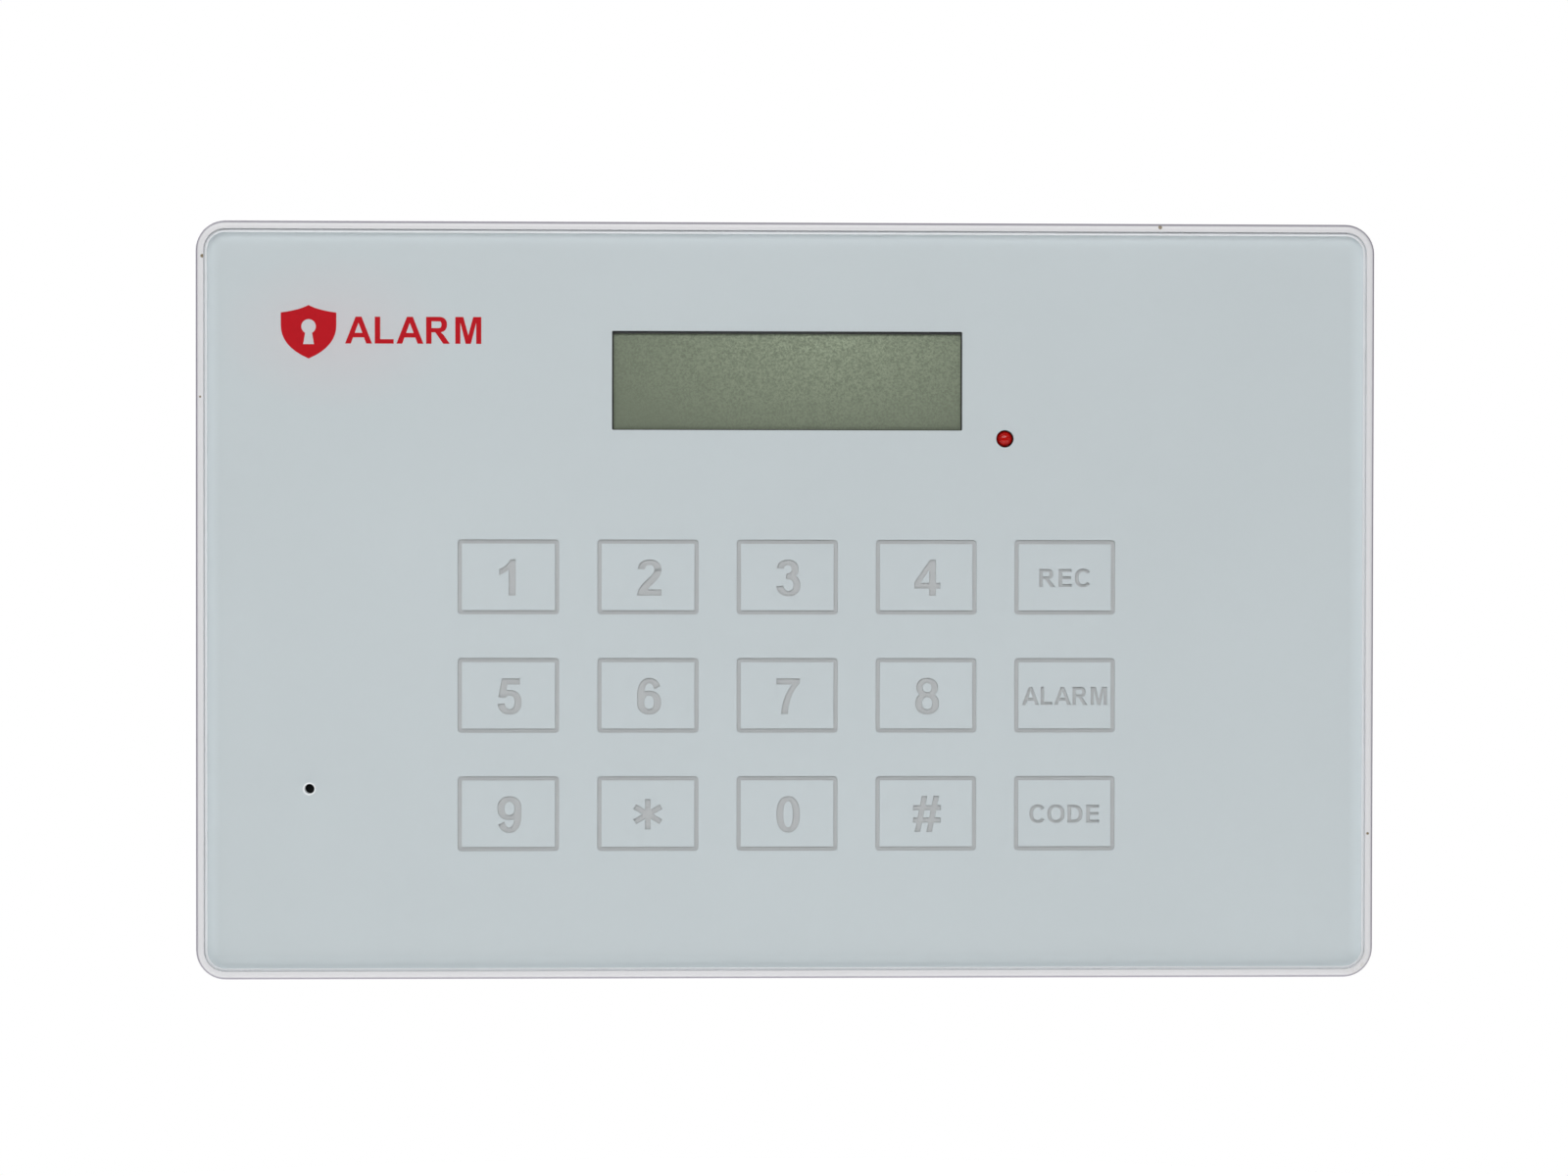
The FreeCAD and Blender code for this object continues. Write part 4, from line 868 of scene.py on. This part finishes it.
def add_film(materials):
    """The printed film with every legend left open, and the red mark printed in its own opening."""
    low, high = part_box("graphic_film")
    x0, z0, x1, z1 = low.x / MM, low.z / MM, high.x / MM, high.z / MM
    led_low, led_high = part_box("status_led")
    mic_low, mic_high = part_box("microphone")
    led, mic = (led_low + led_high) / 2 / MM, (mic_low + mic_high) / 2 / MM
    w, h = WINDOW_W / 2, WINDOW_H / 2
    window = rounded(WINDOW_X - w, WINDOW_Z - h, WINDOW_X + w, WINDOW_Z + h, WINDOW_CORNER)
    holes = [disc(led.x, led.z, LED_HOLE_R), disc(mic.x, mic.z, MIC_HOLE_R)]
    plate = ([rounded(x0, z0, x1, z1, FILM_CORNER)], [window, *holes])
    legends = []
    for row, texts in enumerate(KEY_ROWS):
        for column, text in enumerate(texts):
            legends += key_groups(text, *key_middle(row, column))
    mark = mark_groups()
    points, triangles, inside = cut_plane([plate] + legends + mark)
    first_mark = 1 + len(legends)
    printed, red = [], []
    for triangle, groups in zip(triangles, inside):
        if 0 not in groups:
            continue
        if any(g >= first_mark for g in groups):
            red.append(triangle)
        elif groups == {0}:
            printed.append(triangle)
    front, back = low.y + FILM_SEAT * MM, high.y
    film = flat_piece("printed_film", points, printed, front, back)
    film.data.materials.append(materials["film_print"])
    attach(film, "panel")
    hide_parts("graphic_film")
    emblem = flat_piece("red_mark", points, red, front, back)
    emblem.data.materials.append(mark_print())
    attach(emblem, "panel")


# ---------------------------------------------------------------- springs
WIRE_SIDES = 8
TURN_STEPS = 28
CLOSED_TURNS = 1.0                # turns that lie flat at each end of a spring


def coil_turns(turns):
    """How far round, and how far along from 0 to 1, at each step of a spring with closed ends."""
    steps = round(turns * TURN_STEPS)
    for i in range(steps + 1):
        done = turns * i / steps
        rising = min(max(done - CLOSED_TURNS, 0.0), turns - 2 * CLOSED_TURNS)
        yield math.tau * done, rising / (turns - 2 * CLOSED_TURNS)


def coil(x, z, y0, y1, radius, wire, turns):
    """Corners and faces of a wire spring along Y. radius is the coil's own, and wire is the wire's."""
    rings, corners = 0, []
    near, far = y0 + wire, y1 - wire
    closed_rise = 2 * wire
    for angle, along in coil_turns(turns):
        flat = min(angle / math.tau, turns - angle / math.tau, CLOSED_TURNS)
        lift = closed_rise * (flat if along < 0.5 else 2 * CLOSED_TURNS - flat)
        y = near + lift + (far - near - 2 * closed_rise * CLOSED_TURNS) * along
        c, s = math.cos(angle), math.sin(angle)
        for side in range(WIRE_SIDES):
            a = math.tau * side / WIRE_SIDES
            r = radius + wire * math.cos(a)
            corners.append((x + r * c, y + wire * math.sin(a), z + r * s))
        rings += 1
    faces = []
    for ring in range(rings - 1):
        for side in range(WIRE_SIDES):
            a, b = ring * WIRE_SIDES + side, ring * WIRE_SIDES + (side + 1) % WIRE_SIDES
            faces.append((a, b, b + WIRE_SIDES, a + WIRE_SIDES))
    last = (rings - 1) * WIRE_SIDES
    faces.append(tuple(range(WIRE_SIDES))[::-1])
    faces.append(tuple(range(last, last + WIRE_SIDES)))
    return corners, faces


def add_springs(name, node, body, places, radius, wire, turns, material):
    """One piece that holds a spring at each place, and stands for the node's plain sleeves."""
    low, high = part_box(node)
    corners, faces = [], []
    for x, z in places:
        made, sides = coil(x, z, low.y, high.y, radius, wire, turns)
        faces += [tuple(i + len(corners) for i in side) for side in sides]
        corners += made
    mesh = bpy.data.meshes.new(name)
    mesh.from_pydata(corners, [], faces)
    mesh.validate()
    for side in mesh.polygons:
        side.use_smooth = len(side.vertices) == 4
    mesh.materials.append(material)
    spring = bpy.data.objects.new(name, mesh)
    bpy.context.scene.collection.objects.link(spring)
    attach(spring, body)
    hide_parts(node)
    return spring


def add_touch_springs(materials):
    """The contact spring behind each key."""
    middles = [key_middle(row, column) for row in range(len(KEY_ROWS)) for column in range(KEY_COLUMNS)]
    places = [(x * MM, z * MM) for x, z in middles]
    radius, wire, steel = TOUCH_R * MM, TOUCH_WIRE * MM, materials["spring_steel"]
    add_springs("contact_springs", "touch_springs", "panel", places, radius, wire, TOUCH_TURNS, steel)


def add_tamper_spring(materials):
    """The plunger's return spring, which the plunger squeezes against the far end of its housing."""
    low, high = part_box("tamper_spring")
    middle = (low + high) / 2
    wire = RETURN_WIRE * MM
    radius = (high.x - low.x) / 2 - wire
    place = [(middle.x, middle.z)]
    steel = materials["spring_steel"]
    spring = add_springs("return_spring", "tamper_spring", "panel", place, radius, wire, RETURN_TURNS, steel)
    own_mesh(spring)


# ---------------------------------------------------------------- the scene
add_camera()
add_room()
add_floor()
add_area_light("window_light", **WINDOW_LIGHT)
add_area_light("back_light", **BACK_LIGHT)
FINISHES = finishes()
paint_frame(FINISHES)
add_film(FINISHES)
add_touch_springs(FINISHES)
add_tamper_spring(FINISHES)
